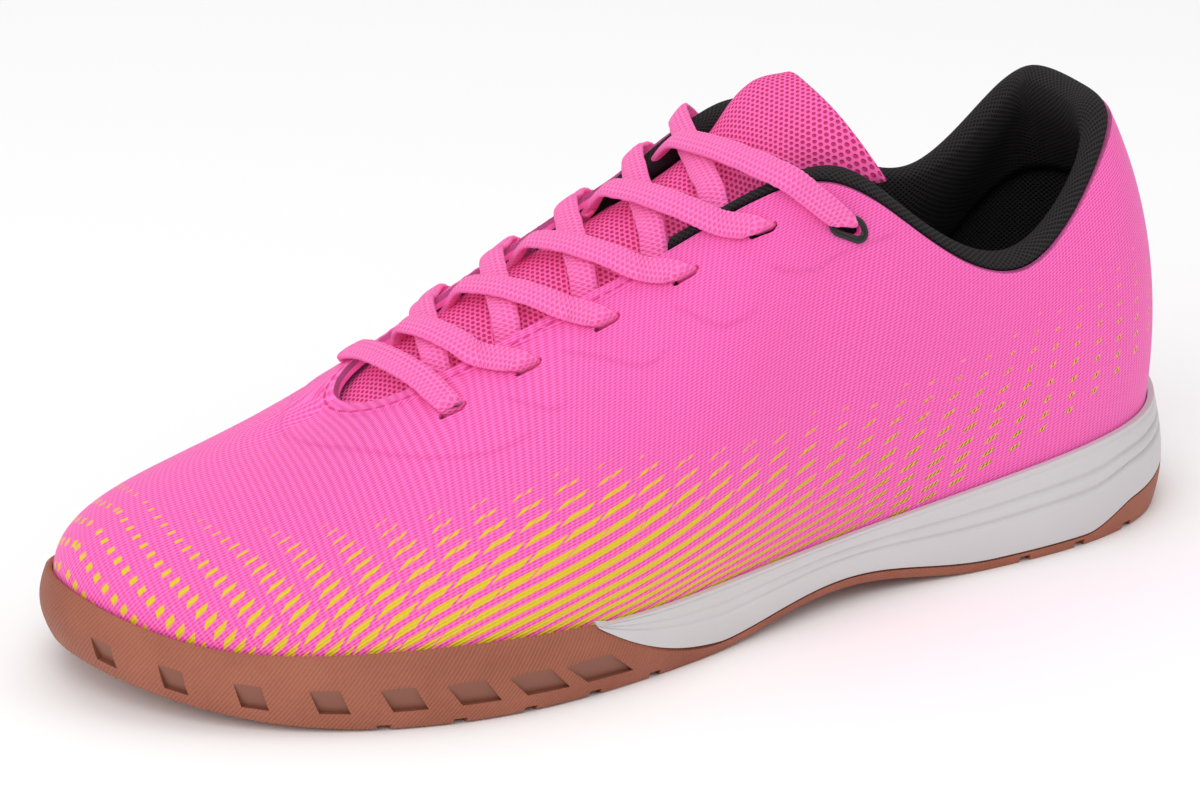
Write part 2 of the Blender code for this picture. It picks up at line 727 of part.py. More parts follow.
def build_top_eyelet(name, u, v, material):
    """Ring on the upper round the top lace slot, following the surface."""
    small = 1e-3
    u_size = np.linalg.norm(surface(u + small, v) - surface(u - small, v)) / (2.0 * small)
    v_size = np.linalg.norm(surface(u, v + small) - surface(u, v - small)) / (2.0 * small)
    rings = []
    outer = stadium(SLOT_LONG + 2.0 * RING_MARGIN, SLOT_WIDE + 2.0 * RING_MARGIN)
    inner = stadium(SLOT_LONG, SLOT_WIDE)
    top = GAP + RING_THICK
    for outline, lift in ((outer, GAP), (outer, top), (inner, top), (inner, GAP)):
        ring_u = u + outline[:, 0] / u_size
        ring_v = v + outline[:, 1] / v_size
        rings.append(offset(ring_u, ring_v, np.full(ring_u.shape, lift)))
    rings = np.stack(rings, axis=1)
    make_object(name, rings.reshape(-1, 3), grid_faces(*rings.shape[:2], close_rows=True), material)


def lining_depth(u):
    """Scale of the lining's section: full round the collar, thinner along the throat."""
    from_heel = np.minimum(u, 2.0 - u)
    return 1.0 - (1.0 - LINING_THROAT_SCALE) * ease((from_heel - LINING_THROAT_START) / LINING_THROAT_RUN)


def roll_rise(u):
    """Height just over the lining's roll, past the upper's edge, none past the lining's end."""
    highest = max(section.rise for section in LINING_SECTION)
    tallest = highest + LINING_CLEAR
    before_end = (LINING_END_U - u) / LINING_END_RUN + 1.0
    return tallest * np.sqrt(lining_depth(u)) * ease(before_end)


def rib_point(u, rise, depth):
    """Point a distance along the rib from the edge, at a depth inside the lining's outer face."""
    small = 1e-3
    speed = np.linalg.norm(surface(u, 1.0) - surface(u, 1.0 - small), axis=-1) / small
    v = 1.0 + np.minimum(rise, 0.0) / speed
    point, _, climb, normal = surface_frame(u, v)
    past = np.maximum(rise, 0.0)
    inwards = depth + UPPER_WALL + LINING_CLEAR
    return point + past[..., None] * climb - inwards[..., None] * normal


def build_collar_lining(material):
    """Padded roll over the collar's edge, with the lining that runs down inside the wall."""
    side = station_u()
    side = side[side <= LINING_END_U]
    u = np.concatenate([2.0 - side[:0:-1], side])
    scale = lining_depth(u)
    foot = -LINING_FOOT * scale
    columns = [rib_point(u, foot, np.zeros_like(u))]
    for section in LINING_SECTION:
        rise = section.rise * np.where(section.rise < 0.0, scale, np.sqrt(scale))
        depth = section.depth * np.where(section.depth > 0.0, scale, 1.0)
        columns.append(rib_point(u, np.maximum(rise, foot), depth))
    columns.append(rib_point(u, foot, np.full(u.shape, LINING_THIN)))
    make_object("collar_lining", *tube(np.stack(columns, axis=1)), material)


def open_spline(rows, count):
    """Smooth curve through rows of values, with one-sided ends."""
    rows = np.asarray(rows, dtype=float)
    padded = np.vstack([2.0 * rows[0] - rows[1], rows, 2.0 * rows[-1] - rows[-2]])
    t = np.linspace(0.0, len(rows) - 1.0, count)
    i = np.minimum(t.astype(int), len(rows) - 2)
    f = (t - i)[:, None]
    a, b, c, d = padded[i], padded[i + 1], padded[i + 2], padded[i + 3]
    square = 2.0 * a - 5.0 * b + 4.0 * c - d
    cube = 3.0 * (b - c) + d - a
    return b + 0.5 * f * (c - a + f * (square + f * cube))


def tongue_section(row, inset):
    """Arch across the tongue at one station, moved inwards by an inset."""
    s, centre, z, half, sag, thick, tilt = row
    angle = np.linspace(-TONGUE_SPREAD, TONGUE_SPREAD, TONGUE_ACROSS)
    reach = (half - inset * TONGUE_EDGE_INSET * thick) * np.sin(angle)
    drop = inset * thick + (sag - inset * thick) * (1.0 - np.cos(angle))
    points = np.zeros((TONGUE_ACROSS, 3))
    points[:, 0] = s - drop * math.sin(TONGUE_LEAN)
    points[:, 1] = centre + reach
    points[:, 2] = z - drop * math.cos(TONGUE_LEAN) + tilt * reach
    return points


def build_tongue(material):
    """Padded sheet arched across the throat, from under the vamp to its free end."""
    rings = []
    for row in open_spline(TONGUE, 2 * len(TONGUE) - 1):
        outer = tongue_section(row, 0.0)
        inner = tongue_section(row, 1.0)
        rings.append(np.concatenate([outer, inner[::-1]]))
    make_object("tongue", *tube(np.array(rings)), material)


def insole_chain(u):
    """Edge of the footbed at each u, from its underside to its top."""
    low = offset(u, np.zeros_like(u), np.full(u.shape, -UPPER_WALL - INSOLE_CLEAR))
    s = LAST(u)[..., 0]
    return np.stack([flat(low, bed(s)), flat(low, bed(s) + INSOLE_THICK)], axis=1)


def build_insole(material):
    """Footbed that lies on the sole inside the upper."""
    u = station_u()[::2]
    rings = station_rings(insole_chain, u, 2, lambda s: bed(s) + INSOLE_THICK, 2, bed)
    make_object("insole", rings.reshape(-1, 3), grid_faces(*rings.shape[:2]), material)


def throat_point(lateral_u, medial_u, side, rise):
    """Point over the throat, side -1 at the lateral edge and 1 at the medial, with its normal."""
    lateral, _, lateral_climb, lateral_out = surface_frame(np.array(lateral_u), np.array(1.0))
    medial, _, medial_climb, medial_out = surface_frame(np.array(2.0 - medial_u), np.array(1.0))
    lateral = lateral + roll_rise(lateral_u) * lateral_climb
    medial = medial + roll_rise(medial_u) * medial_climb
    share = (side + 1.0) / 2.0
    normal = unit(lateral_out * (1.0 - share) + medial_out * share)
    return lateral + (medial - lateral) * share + rise * normal, normal


def wall_point(u, v, lift=0.0):
    """Point of the lace's middle line on the outside of the upper, with its normal."""
    point, _, _, normal = surface_frame(np.array(u), np.array(v))
    return point + (lift + LACE_LIFT + LACE_THICK / 2.0) * normal, normal


def strap_rings(points, normals):
    """Flat lace section carried along a path of points."""
    path = open_spline(np.concatenate([points, normals], axis=1), STRAP_SAMPLES)
    places = path[:, :3]
    normal = unit(path[:, 3:])
    along = unit(np.gradient(places, axis=0))
    wide = unit(np.cross(normal, along))
    normal = np.cross(along, wide)
    half = LACE_WIDE / 2.0
    thick = LACE_THICK / 2.0
    flat_half = half - LACE_BEVEL
    lower = ((-half, 0.0), (-flat_half, -thick), (flat_half, -thick))
    higher = ((half, 0.0), (flat_half, thick), (-flat_half, thick))
    rings = [places + a * wide + b * normal for a, b in lower + higher]
    return np.stack(rings, axis=1)


def strap_solid(places):
    """Solid of a strap through places with their normals."""
    points = np.array([point for point, _ in places])
    normals = np.array([normal for _, normal in places])
    return tube(strap_rings(points, normals))


def crossing_strap(strap, lateral_u, medial_u, to_side, slot, ring):
    """Strap from under one edge, over the throat and the other edge, to a slot on that side."""
    places = []
    for place in strap:
        rise = place.rise * LACE_THICK + ring * max(place.side, 0.0)
        places.append(throat_point(lateral_u, medial_u, place.side * to_side, rise))
    edge_u = lateral_u if to_side < 0.0 else 2.0 - medial_u
    slot_u, slot_v = slot
    for share in (WALL_SHARE, 1.0):
        u = edge_u + (slot_u - edge_u) * share
        v = 1.0 + (slot_v + STRAP_END_V - 1.0) * share
        places.append(wall_point(u, v, ring))
    return strap_solid(places)


def build_laces(material):
    """Bar at the toe end and the crossings above it, each crossing one joined solid."""
    (lateral_u, v), (medial_u, _) = both_sides(EYELETS[0])
    bar = [wall_point(lateral_u, v + STRAP_END_V)]
    for place in BAR_STRAP:
        rise = place.rise * LACE_THICK
        bar.append(throat_point(BAR_EDGE_LATERAL, BAR_EDGE_MEDIAL, place.side, rise))
    bar.append(wall_point(medial_u, v + STRAP_END_V))
    make_object("lace_bar", *strap_solid(bar), material)
    for k, (row, eyelet) in enumerate(zip(CROSSINGS, EYELETS[1:]), start=1):
        ring = GAP + RING_THICK if eyelet is EYELETS[-1] else 0.0
        lateral_slot, medial_slot = both_sides(eyelet)
        over = crossing_strap(OVER_STRAP, row.over_edge, row.over_start, -1.0, lateral_slot, ring)
        under = crossing_strap(UNDER_STRAP, row.under_start, row.under_edge, 1.0, medial_slot, ring)
        crossing = make_object(f"lace_cross_{k}", *over, material)
        combine(crossing, make_cutter(f"lace_under_{k}", *under), "UNION")


def main():
    """Builds every piece of the shoe."""
    for old in list(bpy.data.objects):
        bpy.data.objects.remove(old, do_unlink=True)
    pink = make_material("pink_textile", (0.90, 0.03, 0.20), 0.60)
    pink_mesh = make_material("pink_mesh", (0.80, 0.05, 0.22), 0.75)
    black = make_material("black_knit", (0.012, 0.011, 0.013), 0.85)
    white = make_material("white_foam", (0.72, 0.71, 0.72), 0.50)
    gum = make_material("gum_rubber", (0.42, 0.19, 0.12), 0.55)
    build_outsole(gum)
    build_midsole(white)
    build_upper(pink)
    build_collar_lining(black)
    build_tongue(pink_mesh)
    build_insole(black)
    build_laces(pink)
    top = EYELETS[-1]
    for name, (u, v) in zip(("top_eyelet_lateral", "top_eyelet_medial"), both_sides(top)):
        build_top_eyelet(name, u, v, black)


main()
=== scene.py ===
"""Looks of an indoor court shoe for the left foot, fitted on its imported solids.

Lengths are millimetres in the shoe's own terms (s, y, z): s runs along the foot from the back of
the heel, y runs across it with the inner (medial) side positive, and z runs up from the floor.
The upper is one surface of two parameters. u goes round the foot, 0 at the heel, 1 at the toe tip
by way of the outer (lateral) side and back to 2 along the inner side. v climbs from the feather
line, where the upper meets the sole, to the edge of collar and throat.
"""

from __future__ import annotations

import logging
import math
from collections.abc import Callable, Mapping, Sequence
from dataclasses import dataclass, field
from enum import Enum
from typing import Any, NamedTuple

import bmesh
import bpy
import numpy as np
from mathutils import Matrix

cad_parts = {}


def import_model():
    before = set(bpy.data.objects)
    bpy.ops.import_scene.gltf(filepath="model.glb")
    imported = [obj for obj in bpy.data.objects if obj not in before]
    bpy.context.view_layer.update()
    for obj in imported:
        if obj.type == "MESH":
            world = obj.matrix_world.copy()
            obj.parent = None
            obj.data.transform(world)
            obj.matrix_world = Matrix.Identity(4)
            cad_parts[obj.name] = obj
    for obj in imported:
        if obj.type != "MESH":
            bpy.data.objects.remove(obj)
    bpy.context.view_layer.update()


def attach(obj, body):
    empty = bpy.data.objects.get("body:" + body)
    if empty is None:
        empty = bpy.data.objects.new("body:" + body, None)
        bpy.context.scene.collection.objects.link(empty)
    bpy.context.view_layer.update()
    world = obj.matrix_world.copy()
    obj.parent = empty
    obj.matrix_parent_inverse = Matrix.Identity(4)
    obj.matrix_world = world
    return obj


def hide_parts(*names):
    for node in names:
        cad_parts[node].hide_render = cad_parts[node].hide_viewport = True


Array = np.ndarray
Piece = bpy.types.Object
Material = bpy.types.Material
Tree = bpy.types.NodeTree
LOG = logging.getLogger("court_shoe")
MM = 0.001
BODY = "root"
# Steps of the parameters for directions and for lengths on a surface, and metres that join points.
TINY = 1e-4
STEP = 1e-3
WELD = 1e-6
UP = np.array([0.0, 0.0, 1.0])
# Sizes that several pieces share, in millimetres: the lace slots and the sewn line below the edge.
SLOT_LONG = 6.8
SLOT_WIDE = 2.6
SEWN_BELOW = 2.6


class Side(Enum):
    """Side of the foot, with its sign along y."""

    LATERAL = -1.0
    MEDIAL = 1.0


class Wave(Enum):
    """Wave of a row of ridges, by Blender's name."""

    SINE = "SINE"
    COSINE = "COSINE"


class FeatherRow(NamedTuple):
    """Outline of the last at the sole, stand-out of the tread's edge and height of the rim."""

    u: float
    s: float
    lateral: float
    medial: float
    tread: float
    rim: float


class EdgeRow(NamedTuple):
    """Place of the edge of collar and throat on both sides, at u of the feather line's row."""

    s: float
    lateral: float
    lateral_z: float
    medial: float
    medial_z: float


class RibRow(NamedTuple):
    """Rib of the upper at u of the feather line's row.

    lean and drop are its slopes at the sole and at the edge, in degrees, and root and crown are how
    far it keeps them, in millimetres.
    """

    lean: float
    root: float
    drop: float
    crown: float


class EyeletRow(NamedTuple):
    """Lace slot on the upper's surface, on both sides."""

    lateral_u: float
    medial_u: float
    v: float


class TongueRow(NamedTuple):
    """Tongue section: crest, half width, depth of the arch, thickness and slope across."""

    s: float
    centre: float
    z: float
    half: float
    sag: float
    thick: float
    tilt: float


class CrossingRow(NamedTuple):
    """Edge parameters where two crossing straps come out and where they turn over."""

    over_start: float
    over_edge: float
    under_start: float
    under_edge: float


class Strap(NamedTuple):
    """Places on a strap over the throat: sides from -1 to 1 and rises in lace thicknesses."""

    side: tuple[float, ...]
    rise: tuple[float, ...]


class LiningSection(NamedTuple):
    """Corners of the lining's section: rises past the wall's edge and depths inside it."""

    rise: tuple[float, ...]
    depth: tuple[float, ...]


class PrintRow(NamedTuple):
    """Dash print at one place round the foot.

    period is the rim's length for one cell, shear the cells for a millimetre of height, slope the
    rise of a row for a millimetre of rim and pitch its height at the rim. reach is the height at
    which the dashes vanish, long and wide are the largest dash's shares of its cell, fade is the
    power by which they shrink, pits the share of dark pits in them and split the share by which
    short ones are parted in two.
    """

    u: float
    period: float
    shear: float
    slope: float
    pitch: float
    reach: float
    long: float
    wide: float
    fade: float
    pits: float
    split: float


class Crease(NamedTuple):
    """Points of an embossed line: places round the foot and distances below the edge."""

    u: tuple[float, ...]
    below: tuple[float, ...]


class Grain(NamedTuple):
    """Turns of the weave's ribs from the rim's direction, in degrees, at places round the foot."""

    u: tuple[float, ...]
    turn: tuple[float, ...]


class LacePlace(NamedTuple):
    """Point of a strap's middle line, its normal, and the slot's direction where it is held."""

    point: Array
    normal: Array
    slot: Array


class Frame(NamedTuple):
    """Point of a surface with its two directions and outward normal."""

    point: Array
    around: Array
    climb: Array
    normal: Array


class FootbedEdge(NamedTuple):
    """Corners of the footbed's edge: distances in from its side and shares of its thickness."""

    inset: tuple[float, ...]
    share: tuple[float, ...]


class LightRow(NamedTuple):
    """Area lamp that faces the origin: its name, place and side in metres, and power in watts."""

    name: str
    place: tuple[float, float, float]
    size: float
    power: float


FEATHER = (
    FeatherRow(0.000, 3.5, 0.5, 0.5, 3.8, 28.0),
    FeatherRow(0.060, 10.0, -17.0, 18.0, 4.0, 26.5),
    FeatherRow(0.130, 28.0, -28.0, 28.5, 4.0, 25.0),
    FeatherRow(0.240, 62.0, -31.5, 29.0, 4.2, 20.8),
    FeatherRow(0.360, 99.0, -32.5, 25.5, 4.2, 16.3),
    FeatherRow(0.470, 132.0, -39.0, 27.0, 4.2, 15.2),
    FeatherRow(0.575, 164.0, -46.0, 35.0, 4.2, 15.3),
    FeatherRow(0.680, 196.0, -47.8, 42.0, 4.4, 16.8),
    FeatherRow(0.775, 224.0, -40.8, 43.0, 4.8, 17.0),
    FeatherRow(0.885, 255.6, -21.8, 35.5, 4.4, 18.0),
    FeatherRow(1.000, 273.85, 9.0, 9.0, 2.0, 24.5),
)
TOP_EDGE = (
    EdgeRow(18.0, 0.0, 100.0, 0.0, 100.0),
    EdgeRow(20.4, -14.0, 99.0, 14.0, 100.4),
    EdgeRow(28.4, -23.0, 91.0, 22.5, 94.6),
    EdgeRow(51.0, -28.5, 70.0, 27.0, 75.6),
    EdgeRow(82.0, -28.0, 84.5, 26.0, 90.0),
    EdgeRow(106.0, -22.0, 97.5, 22.0, 102.0),
    EdgeRow(133.0, -14.0, 86.0, 16.5, 93.0),
    EdgeRow(162.0, -11.0, 74.0, 14.5, 80.0),
    EdgeRow(190.0, -9.0, 63.5, 13.0, 67.0),
    EdgeRow(206.0, -5.0, 58.0, 9.5, 60.0),
    EdgeRow(211.0, 2.5, 57.0, 2.5, 57.0),
)
RIBS = (
    RibRow(8.0, 30.0, 62.0, 28.0),
    RibRow(8.0, 30.0, 64.0, 28.0),
    RibRow(9.0, 28.0, 70.0, 24.0),
    RibRow(10.0, 20.0, 80.0, 16.0),
    RibRow(10.0, 26.0, 72.0, 22.0),
    RibRow(12.0, 30.0, 55.0, 30.0),
    RibRow(16.0, 28.0, 42.0, 28.0),
    RibRow(20.0, 25.0, 36.0, 28.0),
    RibRow(24.0, 23.0, 35.0, 26.0),
    RibRow(24.0, 25.0, 35.0, 27.0),
    RibRow(18.0, 31.0, 34.0, 27.0),
)
EYELETS = (
    EyeletRow(0.756, 0.785, 0.845),
    EyeletRow(0.699, 0.705, 0.865),
    EyeletRow(0.636, 0.645, 0.877),
    EyeletRow(0.568, 0.577, 0.888),
    EyeletRow(0.503, 0.512, 0.905),
    EyeletRow(0.424, 0.445, 0.905),
)
# Columns of the joined tables: along and across, rim, edge, and the values of rib and tread.
PLAN = slice(0, 2)
ALONG, RIM = 0, 2
EDGE = slice(3, 6)
LEAN, ROOT, DROP, CROWN, TREAD = (slice(k, k + 1) for k in range(6, 11))


def linear(colour: str) -> tuple[float, float, float, float]:
    """Turns an sRGB hex value into linear red, green, blue and alpha.

    Args:
        colour: Six hex digits with a leading number sign.

    Returns:
        Linear components, alpha 1.
    """
    parts = np.array([int(colour[i : i + 2], 16) for i in (1, 3, 5)]) / 255.0
    low = parts / 12.92
    high = ((parts + 0.055) / 1.055) ** 2.4
    red, green, blue = np.where(parts <= 0.04045, low, high)
    return (float(red), float(green), float(blue), 1.0)


def ease(x: Array | float) -> Array:
    """Smooth step from 0 to 1: 3x² - 2x³ on the clipped value."""
    x = np.clip(x, 0.0, 1.0)
    return x * x * (3.0 - 2.0 * x)


def unit(vectors: Array) -> Array:
    """Scales vectors to length one."""
    return vectors / np.linalg.norm(vectors, axis=-1, keepdims=True)


def lifted(flat: Array, height: Array | float) -> Array:
    """Gives points of a plan a height."""
    height = np.broadcast_to(height, flat.shape[:-1])
    return np.concatenate([flat[..., :2], height[..., None]], axis=-1)


def lengths(points: Array) -> Array:
    """Distance travelled along the first axis of a row of points."""
    steps = np.linalg.norm(np.diff(points, axis=0), axis=-1)
    return np.concatenate([np.zeros_like(steps[:1]), np.cumsum(steps, axis=0)])


def smooth_path(rows: Array | Sequence[Sequence[float]], count: int) -> Array:
    """Runs a smooth curve through rows of values.

    Between two rows it is the cubic through them whose slope at a row is half the step between
    that row's neighbours.

    Args:
        rows: Values to pass through, one row each.
        count: How many rows to return.

    Returns:
        Rows at even steps along the curve.
    """
    rows = np.asarray(rows, dtype=float)
    padded = np.vstack([2.0 * rows[0] - rows[1], rows, 2.0 * rows[-1] - rows[-2]])
    t = np.linspace(0.0, len(rows) - 1.0, count)
    i = np.minimum(t.astype(int), len(rows) - 2)
    f = (t - i)[:, None]
    a, b, c, d = (padded[i + k] for k in range(4))
    square = 2.0 * a - 5.0 * b + 4.0 * c - d
    cube = 3.0 * (b - c) + d - a
    return b + 0.5 * f * (c - a + f * (square + f * cube))


class ClosedSpline:
    """Periodic cubic spline through rows of values."""

    def __init__(self, knots: Sequence[float], values: Sequence[Sequence[float]], period: float) -> None:
        """Solves for the bends that make slopes and curvature run on at every knot.

        Args:
            knots: Parameters of the rows, rising.
            values: Rows of values.
            period: Parameter after which the rows start again.
        """
        self.knots = np.asarray(knots, dtype=float)
        self.values = np.asarray(values, dtype=float)
        self.period = period
        self.steps = np.diff(np.append(self.knots, self.knots[0] + period))
        slopes = (np.roll(self.values, -1, axis=0) - self.values) / self.steps[:, None]
        before = np.roll(self.steps, 1)
        system = np.diag(2.0 * (before + self.steps))
        system += np.roll(np.diag(before), -1, axis=1)
        system += np.roll(np.diag(self.steps), 1, axis=1)
        self.bends = np.linalg.solve(system, 6.0 * (slopes - np.roll(slopes, 1, axis=0)))

    def __call__(self, u: Array | float) -> Array:
        """Values at parameters u: rows and bends at both ends of a span, by cubic weights.

        Args:
            u: Parameters, of any shape.

        Returns:
            Values, in a new last axis.
        """
        u = np.mod(np.asarray(u, dtype=float), self.period)
        i = np.searchsorted(self.knots, u, side="right") - 1
        j = (i + 1) % len(self.knots)
        step = self.steps[i][..., None]
        b = (u - self.knots[i])[..., None] / step
        a = 1.0 - b
        bend = ((a**3 - a) * self.bends[i] + (b**3 - b) * self.bends[j]) * step**2 / 6.0
        return a * self.values[i] + b * self.values[j] + bend


@dataclass
class Last:
    """Form of the shoe: the upper's surface, the sole's side, and the heights under the foot."""

    length: float = 280.0
    gap: float = 0.3
    wall: float = 1.8
    lip: float = 1.5
    toe_spring: float = 10.5
    toe_spring_start: float = 220.0
    arch_rise: float = 4.6
    arch_back: float = 62.0
    arch_front: float = 148.0
    heel_bevel: float = 2.5
    heel_bevel_end: float = 14.0
    bed_heel: float = 15.5
    bed_forefoot: float = 8.0
    bed_fall_start: float = 42.0
    bed_fall_run: float = 140.0
    bed_toe_rise: float = 9.0
    bed_toe_start: float = 210.0
    short_reach: float = 8.0
    reach_run: float = 20.0
    belly_low: float = 2.6
    belly_low_at: float = 0.35
    belly_high: float = 2.4
    belly_high_at: float = 0.60
    box_steps: int = 401
    box_levels: int = 9
    search_steps: int = 61
    rim_search: float = 0.6
    spline: ClosedSpline = field(init=False)
    centre: Array = field(init=False)

    def __post_init__(self) -> None:
        """Joins the tables into one closed spline and finds the middle of the sole."""
        rows = []
        for foot, top, rib in zip(FEATHER, TOP_EDGE, RIBS):
            shape = (rib.lean, rib.root, rib.drop, rib.crown, foot.tread)
            outer = (foot.s, foot.lateral, foot.rim, top.s, top.lateral, top.lateral_z) + shape
            inner = (foot.s, foot.medial, foot.rim, top.s, top.medial, top.medial_z) + shape
            rows.append((foot.u, outer))
            if 0.0 < foot.u < 1.0:
                rows.append((2.0 - foot.u, inner))
        rows.sort(key=lambda row: row[0])
        self.spline = ClosedSpline([row[0] for row in rows], [row[1] for row in rows], 2.0)
        u = np.linspace(0.0, 2.0, self.box_steps)
        levels = np.linspace(0.0, 1.0, self.box_levels)
        loops = np.concatenate([self.sole_side(u, level) for level in levels])
        self.centre = (loops.min(axis=0) + loops.max(axis=0))[:2] / 2.0

    def world(self, points: Array) -> Array:
        """Millimetres along, across and up the foot as metres in the part's frame."""
        moved = np.asarray(points, dtype=float) - np.array([*self.centre, 0.0])
        return moved * np.array([-MM, MM, MM])

    def ground(self, s: Array) -> Array:
        """Height of the tread: toe spring, arch and heel bevel.

        Args:
            s: Places along the foot.

        Returns:
            Heights over the floor.
        """
        toe = np.clip((s - self.toe_spring_start) / (self.length - self.toe_spring_start), 0.0, None)
        arch = np.clip((s - self.arch_back) / (self.arch_front - self.arch_back), 0.0, 1.0)
        heel = np.clip((self.heel_bevel_end - s) / self.heel_bevel_end, 0.0, 1.0)
        bend = self.arch_rise * np.sin(math.pi * arch) ** 2
        return self.toe_spring * toe**2 + bend + self.heel_bevel * heel**2

    def bed(self, s: Array) -> Array:
        """Height of the board that the foot stands on.

        Args:
            s: Places along the foot.

        Returns:
            Heights over the floor.
        """
        fall = ease((s - self.bed_fall_start) / self.bed_fall_run)
        toe = np.clip((s - self.bed_toe_start) / (self.length - self.bed_toe_start), 0.0, None)
        drop = (self.bed_forefoot - self.bed_heel) * fall
        return self.bed_heel + drop + self.bed_toe_rise * toe**2

    def out(self, u: Array) -> Array:
        """Direction out of the foot's outline, level with the floor."""
        along = self.spline(u + TINY)[..., PLAN] - self.spline(u - TINY)[..., PLAN]
        plan = unit(np.stack([along[..., 1], -along[..., 0]], axis=-1))
        return lifted(plan, 0.0)

    def surface(self, u: Array | float, v: Array | float) -> Array:
        """Outer face of the upper: one cubic rib at each u.

        Args:
            u: Place round the foot.
            v: Place up the rib, 0 at the feather line and 1 at the edge.

        Returns:
            Points in millimetres.
        """
        u, v = np.broadcast_arrays(np.asarray(u, dtype=float), np.asarray(v, dtype=float))
        row = self.spline(u)
        foot = lifted(row, self.bed(row[..., ALONG]))
        edge = row[..., EDGE]
        lean = np.radians(row[..., LEAN])
        drop = np.radians(row[..., DROP])
        out = self.out(u)
        reach = foot[..., :2] - edge[..., :2]
        far = np.linalg.norm(reach, axis=-1, keepdims=True)
        share = ease((far - self.short_reach) / self.reach_run)
        slope = unit(reach / np.maximum(far, TINY) * share + out[..., :2] * (1.0 - share))
        leave = np.concatenate([np.sin(lean) * out[..., :2], np.cos(lean)], axis=-1)
        arrive = np.concatenate([np.cos(drop) * slope, -np.sin(drop)], axis=-1)
        low = foot + row[..., ROOT] * leave
        high = edge + row[..., CROWN] * arrive
        v = v[..., None]
        w = 1.0 - v
        return w**3 * foot + 3.0 * w**2 * v * low + 3.0 * w * v**2 * high + v**3 * edge

    def frame(self, u: Array | float, v: Array | float) -> Frame:
        """Point, direction round the foot, direction up the rib and outward normal.

        Args:
            u: Places round the foot.
            v: Places up the rib.

        Returns:
            The four at every place.
        """
        around = unit(self.surface(u + TINY, v) - self.surface(u - TINY, v))
        climb = unit(self.surface(u, v + TINY) - self.surface(u, v - TINY))
        return Frame(self.surface(u, v), around, climb, unit(np.cross(around, climb)))

    def offset(self, u: Array, v: Array, distance: Array | float) -> Array:
        """Points at a distance outside the upper's outer face.

        Args:
            u: Places round the foot.
            v: Places up the rib.
            distance: Millimetres, below zero inside.

        Returns:
            Points in millimetres.
        """
        place = self.frame(u, v)
        distance = np.broadcast_to(distance, place.point.shape[:-1])
        return place.point + distance[..., None] * place.normal

    def rim_v(self, u: Array) -> Array:
        """Parameter v of the line where the sole's rim meets the upper.

        Args:
            u: Places round the foot.

        Returns:
            Places up the rib.
        """
        steps = np.linspace(0.0, self.rim_search, self.search_steps)
        heights = self.surface(u[:, None], steps)[..., 2]
        rims = self.spline(u)[..., RIM]
        return np.array([np.interp(rim, row, steps) for rim, row in zip(rims, heights)])

    def sole_side(self, u: Array, level: Array | float) -> Array:
        """Outer side of the sole: a cubic from the tread's edge at level 0 to the rim's at 1.

        Args:
            u: Places round the foot.
            level: Share from tread to rim.

        Returns:
            Points in millimetres.
        """
        row = self.spline(u)
        out = self.out(u)
        plan = row[..., PLAN] + row[..., TREAD] * out[..., :2]
        tread = lifted(plan, self.ground(plan[..., 0]))
        rim = lifted(self.offset(u, self.rim_v(u), self.gap + self.lip), row[..., RIM])
        tall = (rim - tread) * UP
        low = tread + self.belly_low * out + self.belly_low_at * tall
        high = rim + self.belly_high * out - (1.0 - self.belly_high_at) * tall
        a = np.broadcast_to(np.asarray(level, dtype=float), u.shape)[..., None]
        b = 1.0 - a
        return b**3 * tread + 3.0 * b**2 * a * low + 3.0 * b * a**2 * high + a**3 * rim

    def side_level(self, u: Array, height: Array) -> Array:
        """Level at which the sole's side reaches a height."""
        steps = np.linspace(0.0, 1.0, self.search_steps)
        heights = np.stack([self.sole_side(u, step)[..., 2] for step in steps], axis=-1)
        return np.array([np.interp(z, row, steps) for z, row in zip(height, heights)])

    def cup_floor(self, s: Array) -> Array:
        """Top of the sole under the upper and footbed."""
        return self.bed(s) - self.gap

    def cup_wall(self, u: Array) -> list[Array]:
        """Inside of the sole's rim, clear of the upper: rim, middle and floor.

        Args:
            u: Places round the foot.

        Returns:
            Three rows of points, from the rim down.
        """
        rim = self.rim_v(u)
        top = lifted(self.offset(u, rim, self.gap), self.spline(u)[..., RIM])
        middle = self.offset(u, rim / 2.0, self.gap)
        low = self.offset(u, np.zeros_like(u), self.gap)
        return [top, middle, lifted(low, self.cup_floor(self.spline(u)[..., ALONG]))]

    def edge_speed(self, u: Array) -> Array:
        """Millimetres up the rib for one unit of v, just below the edge."""
        near = self.surface(u, 1.0) - self.surface(u, 1.0 - STEP)
        return np.linalg.norm(near, axis=-1) / STEP


def from_heel(u: Array) -> Array:
    """Parameter counted from the heel on either side, 1 at the toe."""
    return np.minimum(u, 2.0 - u)


